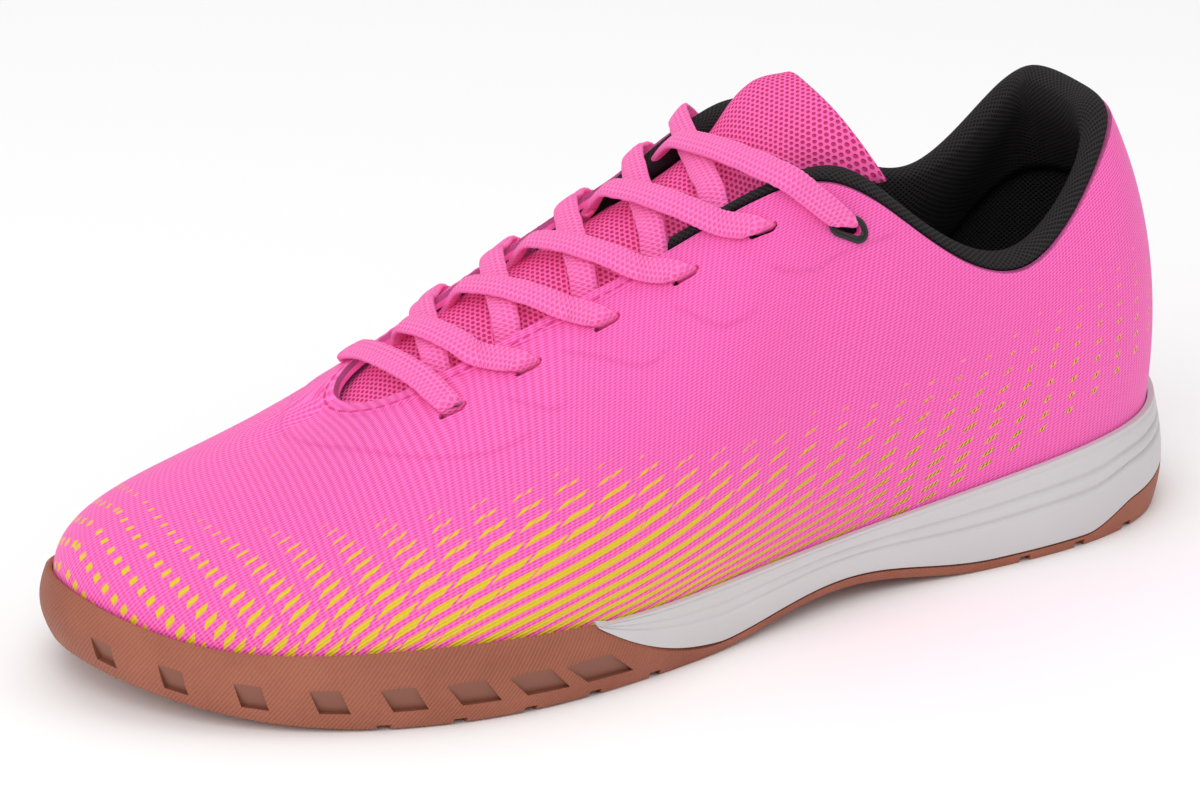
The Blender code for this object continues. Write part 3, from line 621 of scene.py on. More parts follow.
@dataclass
class Patch:
    """Grid of points in millimetres, with texture coordinates at its corners."""

    points: Array
    uv: dict[str, Array] = field(default_factory=dict)
    wrap_rows: bool = False
    wrap_columns: bool = False
    slot: Array | int = 0

    def cells(self) -> tuple[Array, Array]:
        """Row and column of every quad.

        Returns:
            Numbers of rows and of columns.
        """
        rows, columns = self.points.shape[:2]
        i = np.arange(rows if self.wrap_rows else rows - 1)
        j = np.arange(columns if self.wrap_columns else columns - 1)
        i, j = np.meshgrid(i, j, indexing="ij")
        return i.ravel(), j.ravel()

    def faces(self) -> Array:
        """Point numbers of every quad.

        Returns:
            Four numbers for each quad.
        """
        i, j = self.cells()
        rows, columns = self.points.shape[:2]
        k = (i + 1) % rows
        m = (j + 1) % columns
        return np.stack([i * columns + j, k * columns + j, k * columns + m, i * columns + m], axis=1)

    def corners(self, name: str) -> Array:
        """Texture coordinates of every quad's four corners; a map without a seam starts again.

        Args:
            name: Name of the map.

        Returns:
            Four places for each quad.
        """
        i, j = self.cells()
        grid = self.uv[name]
        k = (i + 1) % grid.shape[0]
        m = (j + 1) % grid.shape[1]
        return np.stack([grid[i, j], grid[k, j], grid[k, m], grid[i, m]], axis=1).reshape(-1, 2)

    def slots(self) -> Array:
        """Material number of every quad, given for all or for each column."""
        _, j = self.cells()
        return np.broadcast_to(self.slot, j.shape) if np.ndim(self.slot) == 0 else self.slot[j]


def cloth_patch(rings: Array, along: Array, around: Array) -> Patch:
    """Closed rings with a map of cloth: millimetres along the piece and round it."""
    cloth = np.stack(np.broadcast_arrays(along[:, None], around[None]), axis=-1)
    return Patch(rings, {"cloth": cloth}, wrap_columns=True)


def pole(ring: Array) -> Array:
    """Middle of a ring at each of its points, as a row that closes a piece."""
    return np.broadcast_to(ring.mean(axis=0), ring.shape)[None]


def add_object(name: str, data: bpy.types.ID) -> Piece:
    """Makes an object of some data and puts it into the scene."""
    added = bpy.data.objects.new(name, data)
    bpy.context.collection.objects.link(added)
    return added


def weld(mesh: bpy.types.Mesh) -> None:
    """Joins points that lie on each other and turns the faces outwards.

    Args:
        mesh: Mesh to change.
    """
    shape = bmesh.new()
    shape.from_mesh(mesh)
    bmesh.ops.remove_doubles(shape, verts=shape.verts, dist=WELD)
    bmesh.ops.dissolve_degenerate(shape, edges=shape.edges, dist=WELD)
    bmesh.ops.recalc_face_normals(shape, faces=shape.faces)
    shape.to_mesh(mesh)
    shape.free()


def unfold(mesh: bpy.types.Mesh) -> None:
    """Splits a cut piece's faces into triangles and takes out those that lie on each other.

    Args:
        mesh: Mesh to change.
    """
    shape = bmesh.new()
    shape.from_mesh(mesh)
    bmesh.ops.triangulate(shape, faces=shape.faces[:])
    shape.verts.index_update()
    corners = np.sort([[corner.index for corner in face.verts] for face in shape.faces], axis=1)
    _, same, count = np.unique(corners, axis=0, return_inverse=True, return_counts=True)
    folded = [face for face, many in zip(shape.faces, count[same.ravel()]) if many > 1]
    bmesh.ops.delete(shape, geom=folded, context="FACES")
    shape.to_mesh(mesh)
    shape.free()


def make_mesh(name: str, last: Last, patches: Sequence[Patch], *materials: Material) -> Piece:
    """Makes one closed mesh object from patches, smooth and with faces outwards.

    Args:
        name: Name of the piece.
        last: Form that turns millimetres into the part's frame.
        patches: Grids with the same texture coordinates.
        materials: Finishes in the order of their numbers.

    Returns:
        The object, at the origin, with its place in its mesh.
    """
    sizes = [patch.points.shape[0] * patch.points.shape[1] for patch in patches]
    starts = np.cumsum([0] + sizes)
    points = np.concatenate([patch.points.reshape(-1, 3) for patch in patches])
    faces = np.concatenate([patch.faces() + start for patch, start in zip(patches, starts)])
    mesh = bpy.data.meshes.new(name)
    mesh.from_pydata(last.world(points).tolist(), [], faces.tolist())
    mesh.polygons.foreach_set("material_index", np.concatenate([patch.slots() for patch in patches]))
    for layer in patches[0].uv:
        corners = np.concatenate([patch.corners(layer) for patch in patches])
        mesh.uv_layers.new(name=layer).data.foreach_set("uv", corners.ravel())
    weld(mesh)
    mesh.shade_smooth()
    for material in materials:
        mesh.materials.append(material)
    return add_object(name, mesh)


def cut(piece: Piece, cutter: Piece) -> None:
    """Takes a cutter out of a piece for good and removes the cutter.

    Args:
        piece: Piece to change.
        cutter: Closed shape to take out.
    """
    modifier = piece.modifiers.new("cut", "BOOLEAN")
    modifier.object = cutter
    modifier.operation = "DIFFERENCE"
    modifier.solver = "EXACT"
    modifier.material_mode = "TRANSFER" if cutter.data.materials else "INDEX"
    graph = bpy.context.evaluated_depsgraph_get()
    mesh = bpy.data.meshes.new_from_object(piece.evaluated_get(graph))
    unfold(mesh)
    piece.modifiers.clear()
    piece.data = mesh
    bpy.data.objects.remove(cutter, do_unlink=True)


def settle(piece: Piece, nodes: Sequence[str] = ()) -> None:
    """Lets a piece ride on the shoe in place of the nodes that it stands for.

    Args:
        piece: Finished piece.
        nodes: Nodes that it replaces.
    """
    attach(piece, BODY)
    if nodes:
        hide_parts(*nodes)
    LOG.info("%s: %d faces", piece.name, len(piece.data.polygons))


def put(
    tree: Tree,
    kind: str,
    inputs: Mapping[str | int, Any],
    output: str | int = 0,
    **settings: Any,
) -> Any:
    """Adds one shader node.

    Args:
        tree: Tree that takes the node.
        kind: Blender's name of the node's type.
        inputs: Values, hex colours, or sockets to link from, for each input.
        output: Name or number of the output that is wanted.
        settings: Properties of the node.

    Returns:
        The wanted output.
    """
    node = tree.nodes.new(kind)
    for name, value in settings.items():
        setattr(node, name, value)
    for name, value in inputs.items():
        if isinstance(value, bpy.types.NodeSocket):
            tree.links.new(value, node.inputs[name])
        else:
            node.inputs[name].default_value = linear(value) if isinstance(value, str) else value
    return node.outputs[output]


MATH = "ShaderNodeMath"
VECTOR = "ShaderNodeVectorMath"
RAMP = "ShaderNodeMapRange"
MIX = "ShaderNodeMix"
NOISE = "ShaderNodeTexNoise"
UV_MAP = "ShaderNodeUVMap"
COORDINATES = "ShaderNodeTexCoord"
SEPARATE = "ShaderNodeSeparateXYZ"
# The mix node's colour sockets share their names with its other sockets, so they go by number.
FACTOR, FIRST, SECOND, MIXED = 0, 6, 7, 2


def ridges(
    tree: Tree,
    place: Any,
    direction: Sequence[float],
    pitch: float,
    wave: Wave = Wave.SINE,
) -> Any:
    """Adds even ridges across a direction: the wave of 2π times distance over pitch.

    Args:
        tree: Tree that takes the nodes.
        place: Vector socket of places.
        direction: Direction across the ridges.
        pitch: Spacing, in the unit of the places.
        wave: Sine or cosine.

    Returns:
        Socket from -1 to 1.
    """
    scaled = unit(np.asarray(direction, dtype=float)) * 2.0 * math.pi / pitch
    phase = put(tree, VECTOR, {0: place, 1: tuple(scaled)}, "Value", operation="DOT_PRODUCT")
    return put(tree, MATH, {0: phase}, operation=wave.value)


@dataclass(frozen=True)
class Finish:
    """Surface of one real material; its kinds add colour pattern and relief.

    Patterns on a map are sized in millimetres, and noise by its cells to a metre.
    """

    name: str
    colour: str
    roughness: float
    sheen: float = 0.0
    specular: float = 0.5
    # Emission of the surface colour: a painted glow that stands in for a fluorescent dye's light.
    glow: float = 0.0
    grain: float = 900.0
    grain_rough: float = 0.06
    least_rough: float = 0.02

    def material(self) -> Material:
        """Makes the Blender material.

        Returns:
            The material.
        """
        material = bpy.data.materials.new(self.name)
        material.use_nodes = True
        tree = material.node_tree
        shader = tree.nodes["Principled BSDF"]
        shader.inputs["Base Color"].default_value = linear(self.colour)
        shader.inputs["Roughness"].default_value = self.roughness
        shader.inputs["Specular IOR Level"].default_value = self.specular
        shader.inputs["Sheen Weight"].default_value = self.sheen
        self.dress(tree, shader)
        return material

    def dress(self, tree: Tree, shader: Any) -> None:
        """Adds a faint grain to the roughness, as any moulded or sewn surface has.

        Args:
            tree: Tree that takes the nodes.
            shader: Shader to link to.
        """
        place = put(tree, COORDINATES, {}, "Object")
        noise = put(tree, NOISE, {"Vector": place, "Scale": self.grain})
        low = max(self.roughness - self.grain_rough, self.least_rough)
        high = self.roughness + self.grain_rough
        rough = put(tree, RAMP, {"Value": noise, "To Min": low, "To Max": high})
        tree.links.new(rough, shader.inputs["Roughness"])

    def tint(self, tree: Tree, shader: Any, colour: Any) -> None:
        """Links a colour to the surface and to its emission: a painted glow, lit by no lamp, standing in
        for the light that a fluorescent dye gives back.
        """
        tree.links.new(colour, shader.inputs["Base Color"])
        tree.links.new(colour, shader.inputs["Emission Color"])
        shader.inputs["Emission Strength"].default_value = self.glow

    def relief(self, tree: Tree, shader: Any, height: Any, deep: float) -> None:
        """Adds bump of a depth in millimetres to the shader's normal."""
        bump = put(tree, "ShaderNodeBump", {"Height": height, "Strength": 1.0, "Distance": deep * MM})
        tree.links.new(bump, shader.inputs["Normal"])


@dataclass(frozen=True)
class Patterned(Finish):
    """Surface whose pattern runs from valleys of one colour to crests of another."""

    valley: str = "#000000"
    crest: str = "#FFFFFF"
    valley_at: float = -1.0
    crest_at: float = 1.0
    deep: float = 0.3

    def shades(self, tree: Tree, height: Any) -> tuple[Any, Any]:
        """Turns a pattern's height into its share from valley to crest and the colour there.

        Args:
            tree: Tree that takes the nodes.
            height: Socket of the pattern's height.

        Returns:
            Sockets of share and colour.
        """
        share = put(tree, RAMP, {"Value": height, "From Min": self.valley_at, "From Max": self.crest_at})
        pair = {FACTOR: share, FIRST: self.valley, SECOND: self.crest}
        return share, put(tree, MIX, pair, MIXED, data_type="RGBA")


@dataclass(frozen=True)
class TwillTextile(Patterned):
    """Polyester twill under a thin film: fine diagonal ribs, with a yellow dash print.

    The twill's ribs are 0.55 mm apart on the shoe and are drawn at 0.75 mm so that they show.
    """

    valley: str = "#E63F94"
    crest: str = "#FF6CC4"
    valley_at: float = -1.2
    crest_at: float = 0.6
    deep: float = 0.16
    rib: float = 0.75
    notch: float = 1.3
    notch_way: tuple[float, float, float] = (0.97, 0.22, 0.0)
    notch_share: float = 0.55
    # Colour of the embossed lines: pressed cloth with painted shade in the creases.
    pressed: str = "#D23E92"
    print_colour: str = "#DCC01C"
    print_edge: str = "#F59A3A"
    pit_colour: str = "#3A2412"
    row_pitch: float = 3.4
    slant: float = -0.75
    dot_slant: float = -0.20
    split_gain: float = 0.5
    split_least: float = -0.35
    split_fall: float = -0.2
    edge_soft: float = 0.10
    core_soft: float = 0.28
    pit_pitch: float = 1.15
    pit_soft: float = 0.4

    def dress(self, tree: Tree, shader: Any) -> None:
        """Adds ribs, thread colours, the printed dashes and the embossed lines, darker by pressing and by
        painted shade.
        """
        place = put(tree, UV_MAP, {}, uv_map="weave")
        rib = ridges(tree, place, (0.0, 1.0, 0.0), self.rib)
        notch = ridges(tree, place, self.notch_way, self.notch)
        thread = put(tree, MATH, {0: notch, 1: self.notch_share, 2: rib}, operation="MULTIPLY_ADD")
        share, inked = self.shades(tree, thread)
        covers = self.printed(tree)
        colours = (self.print_edge, self.print_colour, self.pit_colour, self.pressed)
        for cover, colour in zip(covers, colours):
            pair = {FACTOR: cover, FIRST: inked, SECOND: colour}
            inked = put(tree, MIX, pair, MIXED, data_type="RGBA")
        self.tint(tree, shader, inked)
        self.relief(tree, shader, share, self.deep)

    def printed(self, tree: Tree) -> tuple[Any, ...]:
        """Adds the dash print on its own map of cells and rows.

        A dash is the part of a cell whose distances from its middle, along the row with a slant
        and across it, lie within half the dash's length and width. A short dash is split in two:
        half the gap is split_gain times the map's share of splitting, plus split_least, plus
        split_fall times the dash's length, and below zero the dash stays whole.

        Args:
            tree: Tree that takes the nodes.

        Returns:
            Shares of edge colour, core colour, dark pits, and the embossed lines' pressing and painted
            shade.
        """
        # The press map holds the embossed lines' pressing and painted shade, and the share of split
        # dashes.
        maps = [put(tree, UV_MAP, {}, uv_map=name) for name in ("print", "dash", "tone", "press")]
        cell, size, tone, press = (put(tree, SEPARATE, {0: place}).node.outputs for place in maps)
        across = put(tree, MATH, {0: cell[1]}, operation="FRACT")
        across = put(tree, MATH, {0: across, 1: 0.5}, operation="SUBTRACT")
        slant = put(tree, MATH, {0: press[1], 1: self.slant, 2: self.dot_slant}, operation="MULTIPLY_ADD")
        leaning = put(tree, MATH, {0: across, 1: slant, 2: cell[0]}, operation="MULTIPLY_ADD")
        along = put(tree, MATH, {0: leaning}, operation="FRACT")
        along = put(tree, MATH, {0: along, 1: 0.5}, operation="SUBTRACT")
        far = [put(tree, MATH, {0: way}, operation="ABSOLUTE") for way in (along, across)]
        half = [put(tree, MATH, {0: side, 1: 0.5}, operation="MULTIPLY") for side in (size[0], size[1])]
        rooms = [put(tree, MATH, {0: h, 1: f}, operation="SUBTRACT") for h, f in zip(half, far)]
        whole = {0: press[1], 1: self.split_gain, 2: self.split_least}
        whole = put(tree, MATH, whole, operation="MULTIPLY_ADD")
        gap = put(tree, MATH, {0: size[0], 1: self.split_fall, 2: whole}, operation="MULTIPLY_ADD")
        room_split = put(tree, MATH, {0: far[0], 1: gap}, operation="SUBTRACT")
        room_along = put(tree, MATH, {0: rooms[0], 1: room_split}, operation="MINIMUM")
        room_along = put(tree, MATH, {0: room_along, 1: tone[1]}, operation="MULTIPLY")
        room_across = put(tree, MATH, {0: rooms[1], 1: self.row_pitch}, operation="MULTIPLY")
        room = put(tree, MATH, {0: room_along, 1: room_across}, operation="MINIMUM")
        edge = put(tree, RAMP, {"Value": room, "From Min": 0.0, "From Max": self.edge_soft})
        core = put(tree, RAMP, {"Value": room, "From Min": self.edge_soft, "From Max": self.core_soft})
        mesh = put(tree, MATH, {0: leaning, 1: tone[1]}, operation="MULTIPLY")
        mesh = put(tree, MATH, {0: mesh, 1: 2.0 * math.pi / self.pit_pitch}, operation="MULTIPLY")
        mesh = put(tree, MATH, {0: mesh}, operation="SINE")
        hole = put(tree, RAMP, {"Value": mesh, "From Min": 0.0, "From Max": self.pit_soft})
        hole = put(tree, MATH, {0: hole, 1: tone[0]}, operation="MULTIPLY")
        pit = put(tree, MATH, {0: hole, 1: core}, operation="MULTIPLY")
        return (edge, core, pit, press[0])


@dataclass(frozen=True)
class SpacerMesh(Patterned):
    """Knitted spacer mesh: light threads round six-sided holes, which are darkened by painted shade.

    The cells are about 1 mm wide on the shoe and are drawn at 1.35 mm so that they show.
    """

    # The valley colour fills the holes as painted shade; the crest colour is the threads'.
    valley: str = "#CA1B6C"
    crest: str = "#FF62AE"
    valley_at: float = 1.5
    crest_at: float = -0.1
    deep: float = 0.5
    cell: float = 1.35
    turns: tuple[float, ...] = (90.0, 210.0, 330.0)

    def dress(self, tree: Tree, shader: Any) -> None:
        """Adds three families of waves, 120° apart, whose shared peaks are the holes."""
        place = put(tree, UV_MAP, {}, uv_map="cloth")
        pitch = self.cell * math.sqrt(3.0) / 2.0
        total = 0.0
        for turn in np.radians(self.turns):
            wave = ridges(tree, place, (math.cos(turn), math.sin(turn), 0.0), pitch, Wave.COSINE)
            total = put(tree, MATH, {0: total, 1: wave}, operation="ADD")
        share, colour = self.shades(tree, total)
        self.tint(tree, shader, colour)
        self.relief(tree, shader, share, self.deep)


@dataclass(frozen=True)
class PaddedKnit(Patterned):
    """Knit over foam: small loops in offset rows, with painted shade between them and a painted highlight
    on their crests.

    The loops are about 0.9 mm wide on the shoe and are drawn at 1.5 mm so that they show.
    """

    # Valley and crest: painted shade between the loops and a painted highlight on their crests.
    valley: str = "#050405"
    crest: str = "#2E2B2D"
    valley_at: float = -0.6
    deep: float = 0.35
    loop_wide: float = 1.5
    loop_tall: float = 1.2

    def dress(self, tree: Tree, shader: Any) -> None:
        """Adds the loops as two crossed families of slanting ridges."""
        place = put(tree, UV_MAP, {}, uv_map="cloth")
        slope = (1.0 / self.loop_wide, 1.0 / self.loop_tall, 0.0)
        pitch = 1.0 / math.hypot(slope[0], slope[1])
        one = ridges(tree, place, slope, pitch)
        two = ridges(tree, place, (slope[0], -slope[1], 0.0), pitch)
        loops = put(tree, MATH, {0: one, 1: two}, operation="MAXIMUM")
        share, colour = self.shades(tree, loops)
        self.tint(tree, shader, colour)
        self.relief(tree, shader, share, self.deep)


@dataclass(frozen=True)
class WovenLace(Patterned):
    """Flat polyester lace: cross ribs in offset columns, with a rough selvedge.

    The ribs are about 0.7 mm apart on the shoe and are drawn at 1 mm so that they show.
    """

    valley: str = "#F04E9E"
    crest: str = "#FF7AC4"
    valley_at: float = -0.9
    crest_at: float = 1.3
    rib: float = 1.0
    lean: float = 0.45
    column: float = 1.5
    column_share: float = 0.35

    def dress(self, tree: Tree, shader: Any) -> None:
        """Adds slanting cross ribs and columns of threads."""
        place = put(tree, UV_MAP, {}, uv_map="cloth")
        rib = ridges(tree, place, (1.0, self.lean, 0.0), self.rib)
        back = ridges(tree, place, (1.0, -self.lean, 0.0), self.rib)
        column = ridges(tree, place, (0.0, 1.0, 0.0), self.column)
        woven = put(tree, MATH, {0: rib, 1: back}, operation="MAXIMUM")
        woven = put(tree, MATH, {0: column, 1: self.column_share, 2: woven}, operation="MULTIPLY_ADD")
        share, colour = self.shades(tree, woven)
        self.tint(tree, shader, colour)
        self.relief(tree, shader, share, self.deep)


@dataclass(frozen=True)
class GumRubber(Patterned):
    """Translucent brown gum rubber, moulded with a fine diagonal hatch."""

    valley: str = "#94533E"
    crest: str = "#AA664F"
    valley_at: float = 0.25
    crest_at: float = 0.75
    deep: float = 0.12
    hatch: float = 0.8
    hatch_way: tuple[float, float, float] = (0.8, 0.6, 0.0)
    hatch_tone: float = 0.12
    hatch_high: float = 0.5
    cloud: float = 45.0
    cloud_detail: float = 4.0
    grit: float = 1400.0
    through: float = 0.08
    through_far: tuple[float, float, float] = (0.004, 0.002, 0.001)

    def dress(self, tree: Tree, shader: Any) -> None:
        """Adds the hatch, slow changes of tone and a little light from inside."""
        side = put(tree, UV_MAP, {}, uv_map="side")
        hatch = ridges(tree, side, self.hatch_way, self.hatch)
        place = put(tree, COORDINATES, {}, "Object")
        cloud = put(tree, NOISE, {"Vector": place, "Scale": self.cloud, "Detail": self.cloud_detail})
        tone = put(tree, MATH, {0: hatch, 1: self.hatch_tone, 2: cloud}, operation="MULTIPLY_ADD")
        _, colour = self.shades(tree, tone)
        self.tint(tree, shader, colour)
        grit = put(tree, NOISE, {"Vector": place, "Scale": self.grit})
        height = put(tree, MATH, {0: hatch, 1: self.hatch_high, 2: grit}, operation="MULTIPLY_ADD")
        self.relief(tree, shader, height, self.deep)
        shader.inputs["Subsurface Weight"].default_value = self.through
        shader.inputs["Subsurface Radius"].default_value = self.through_far


@dataclass(frozen=True)
class MouldedFoam(Finish):
    """White EVA foam with the satin skin of its mould and faint specks."""

    grey: str = "#C8C4C5"
    cloud: float = 30.0
    peel: float = 700.0
    peel_detail: float = 2.0
    deep: float = 0.05

    def dress(self, tree: Tree, shader: Any) -> None:
        """Adds a soft orange-peel relief and slight greying."""
        place = put(tree, COORDINATES, {}, "Object")
        peel = put(tree, NOISE, {"Vector": place, "Scale": self.peel, "Detail": self.peel_detail})
        cloud = put(tree, NOISE, {"Vector": place, "Scale": self.cloud})
        pair = {FACTOR: cloud, FIRST: self.grey, SECOND: self.colour}
        self.tint(tree, shader, put(tree, MIX, pair, MIXED, data_type="RGBA"))
        self.relief(tree, shader, peel, self.deep)


@dataclass
class Finishes:
    """All materials of the shoe and its studio."""

    textile: Material
    lining: Material
    mesh: Material
    lace: Material
    gum: Material
    smooth_gum: Material
    foam: Material
    ring: Material
    thread: Material
    paper: Material

    @classmethod
    def make(cls) -> Finishes:
        """Makes every material once.

        Returns:
            The materials.
        """
        twill = TwillTextile("printed_polyester_twill", "#F95CB0", 0.6, sheen=0.12, glow=0.07)
        return cls(
            # Twill under a film: an even, bright pink that its fine slanting ribs keep from shining.
            textile=twill.material(),
            # Knit over foam: nearly black, with light only on the crests of its loops.
            lining=PaddedKnit("black_polyester_knit", "#141213", 0.85, specular=0.3).material(),
            # Spacer mesh: light threads over holes darkened by painted shade, which make a deeper and
            # coarser pink.
            mesh=SpacerMesh("pink_spacer_mesh", "#EC5AA4", 0.75, glow=0.06).material(),
            # Woven lace: a paler pink, matt, with slanting ribs and a slightly uneven edge.
            lace=WovenLace("pink_woven_lace", "#F75AAA", 0.7, sheen=0.1, glow=0.06).material(),
            # Gum rubber, moulded and hatched: a warm, matt brown that lets a little light in.
            gum=GumRubber("gum_rubber", "#B4705C", 0.55, specular=0.35).material(),
            # The same gum on the window floors: smoother, as from a polished part of the mould, and
            # darker as painted shade in the recesses.
            smooth_gum=Finish("window_gum_rubber_painted_shade", "#84503F", 0.45).material(),
            # EVA foam from a satin mould: an off-white with soft, wide highlights.
            foam=MouldedFoam("white_eva_foam", "#D0CECF", 0.45).material(),
            # Acetal, injection-moulded: black with small, sharp highlights.
            ring=Finish("black_acetal", "#141214", 0.3).material(),
            # Polyester sewing thread: a deeper pink than the cloth, with a slight shine.
            thread=Finish("pink_polyester_thread", "#D93A8C", 0.6).material(),
            # Paper sweep: an even white without highlights.
            paper=Finish("white_studio_paper", "#FFFFFF", 0.9, specular=0.1).material(),
        )


@dataclass
class Part:
    """Sub-assembly of the shoe, shaped on its last."""

    last: Last

    def build(self, finishes: Finishes) -> None:
        """Makes the sub-assembly's pieces and dresses them.

        Args:
            finishes: Materials of the shoe.
        """
        raise NotImplementedError


@dataclass
class Sole:
    """Shape that outsole and midsole share: where gum and foam meet."""

    last: Last
    gum_band: float = 2.5
    gum_skin: float = 2.2
    gum_plate: float = 3.0
    heel_low: float = 7.5
    heel_low_end: float = 0.16
    heel_low_run: float = 0.05
    heel_high: float = 12.5
    heel_high_end: float = 0.13
    foam_start: float = 138.0
    foam_end: float = 177.0
    foam_tip: float = 0.94
    foam_lift: float = 0.51
    foam_tip_lift: float = 0.30
    foam_tip_run: float = 0.05

    def gum_share(self, s: Array) -> Array:
        """Share of the side that gum takes over, 0 at the waist and 1 in front of the foam."""
        return np.clip((s - self.foam_start) / (self.foam_end - self.foam_start), 0.0, 1.0) ** 2

    def gum_top(self, u: Array) -> Array:
        """Height of the line where gum meets foam.

        Args:
            u: Places round the foot.

        Returns:
            Heights over the floor.
        """
        row = self.last.spline(u)
        side = from_heel(u)
        band = self.last.ground(row[..., ALONG]) + self.gum_band
        band = band + (self.heel_low - band) * ease((self.heel_low_end - side) / self.heel_low_run)
        band = band + (self.heel_high - self.heel_low) * ease(1.0 - side / self.heel_high_end)
        return band + (row[..., RIM] - band) * self.gum_share(row[..., ALONG])

    def plate(self, s: Array) -> Array:
        """Top of the gum under the foam."""
        return self.last.ground(s) + self.gum_plate

    def seat(self, u: Array, clear: float = 0.0) -> list[Array]:
        """Inner side of the gum under the foam: skin, middle and plate edge.

        Args:
            u: Places round the foot.
            clear: Room left to a piece in the seat.

        Returns:
            Three rows of points, from the skin in.
        """
        out = self.last.out(u)
        outer = self.last.sole_side(u, self.last.side_level(u, self.gum_top(u)))
        skin = outer - (self.gum_skin + clear) * out
        plan = self.last.spline(u)[..., :2] + (1.0 - clear) * out[..., :2]
        edge = lifted(plan, self.plate(plan[..., 0]))
        return [skin, (skin + edge) / 2.0, edge]

    def gum_floor(self, s: Array) -> Array:
        """Top of the outsole between its sides: plate at the rear, cup floor in front."""
        low = self.plate(s)
        return low + (self.last.cup_floor(s) - low) * self.gum_share(s)

    def rings(
        self,
        chain: Callable[[Array], Array],
        u: Array,
        top: Callable[[Array], Array],
        bottom: Callable[[Array], Array],
        columns: int,
    ) -> Array:
        """Closed ring at each station: lateral chain, top, medial chain and bottom.

        Args:
            chain: Side of the piece at each u, from its underside up and in.
            u: Stations along the lateral side.
            top: Height of the top by s.
            bottom: Height of the underside by s.
            columns: Points across top and bottom.

        Returns:
            Points by station and place round the ring.
        """
        outer = chain(u)
        inner = chain(2.0 - u)
        shares = np.linspace(0.0, 1.0, columns + 2)[1:-1][None, :, None]
        over = outer[:, -1:] + (inner[:, -1:] - outer[:, -1:]) * shares
        under = inner[:, :1] + (outer[:, :1] - inner[:, :1]) * shares
        over = lifted(over, top(over[..., 0]))
        under = lifted(under, bottom(under[..., 0]))
        return np.concatenate([outer, over, inner[:, ::-1], under], axis=1)

    def side_map(self, rings: Array) -> Array:
        """Texture coordinates in millimetres: along the outline and up."""
        along = lengths(rings[:, 0])[:, None]
        along = np.broadcast_to(along, rings.shape[:2])
        return np.stack([along, rings[..., 2]], axis=-1)


BOX_CORNERS = 8
BOX_FACES = ((0, 1, 3, 2), (4, 6, 7, 5), (0, 4, 5, 1), (2, 3, 7, 6), (0, 2, 6, 4), (1, 5, 7, 3))


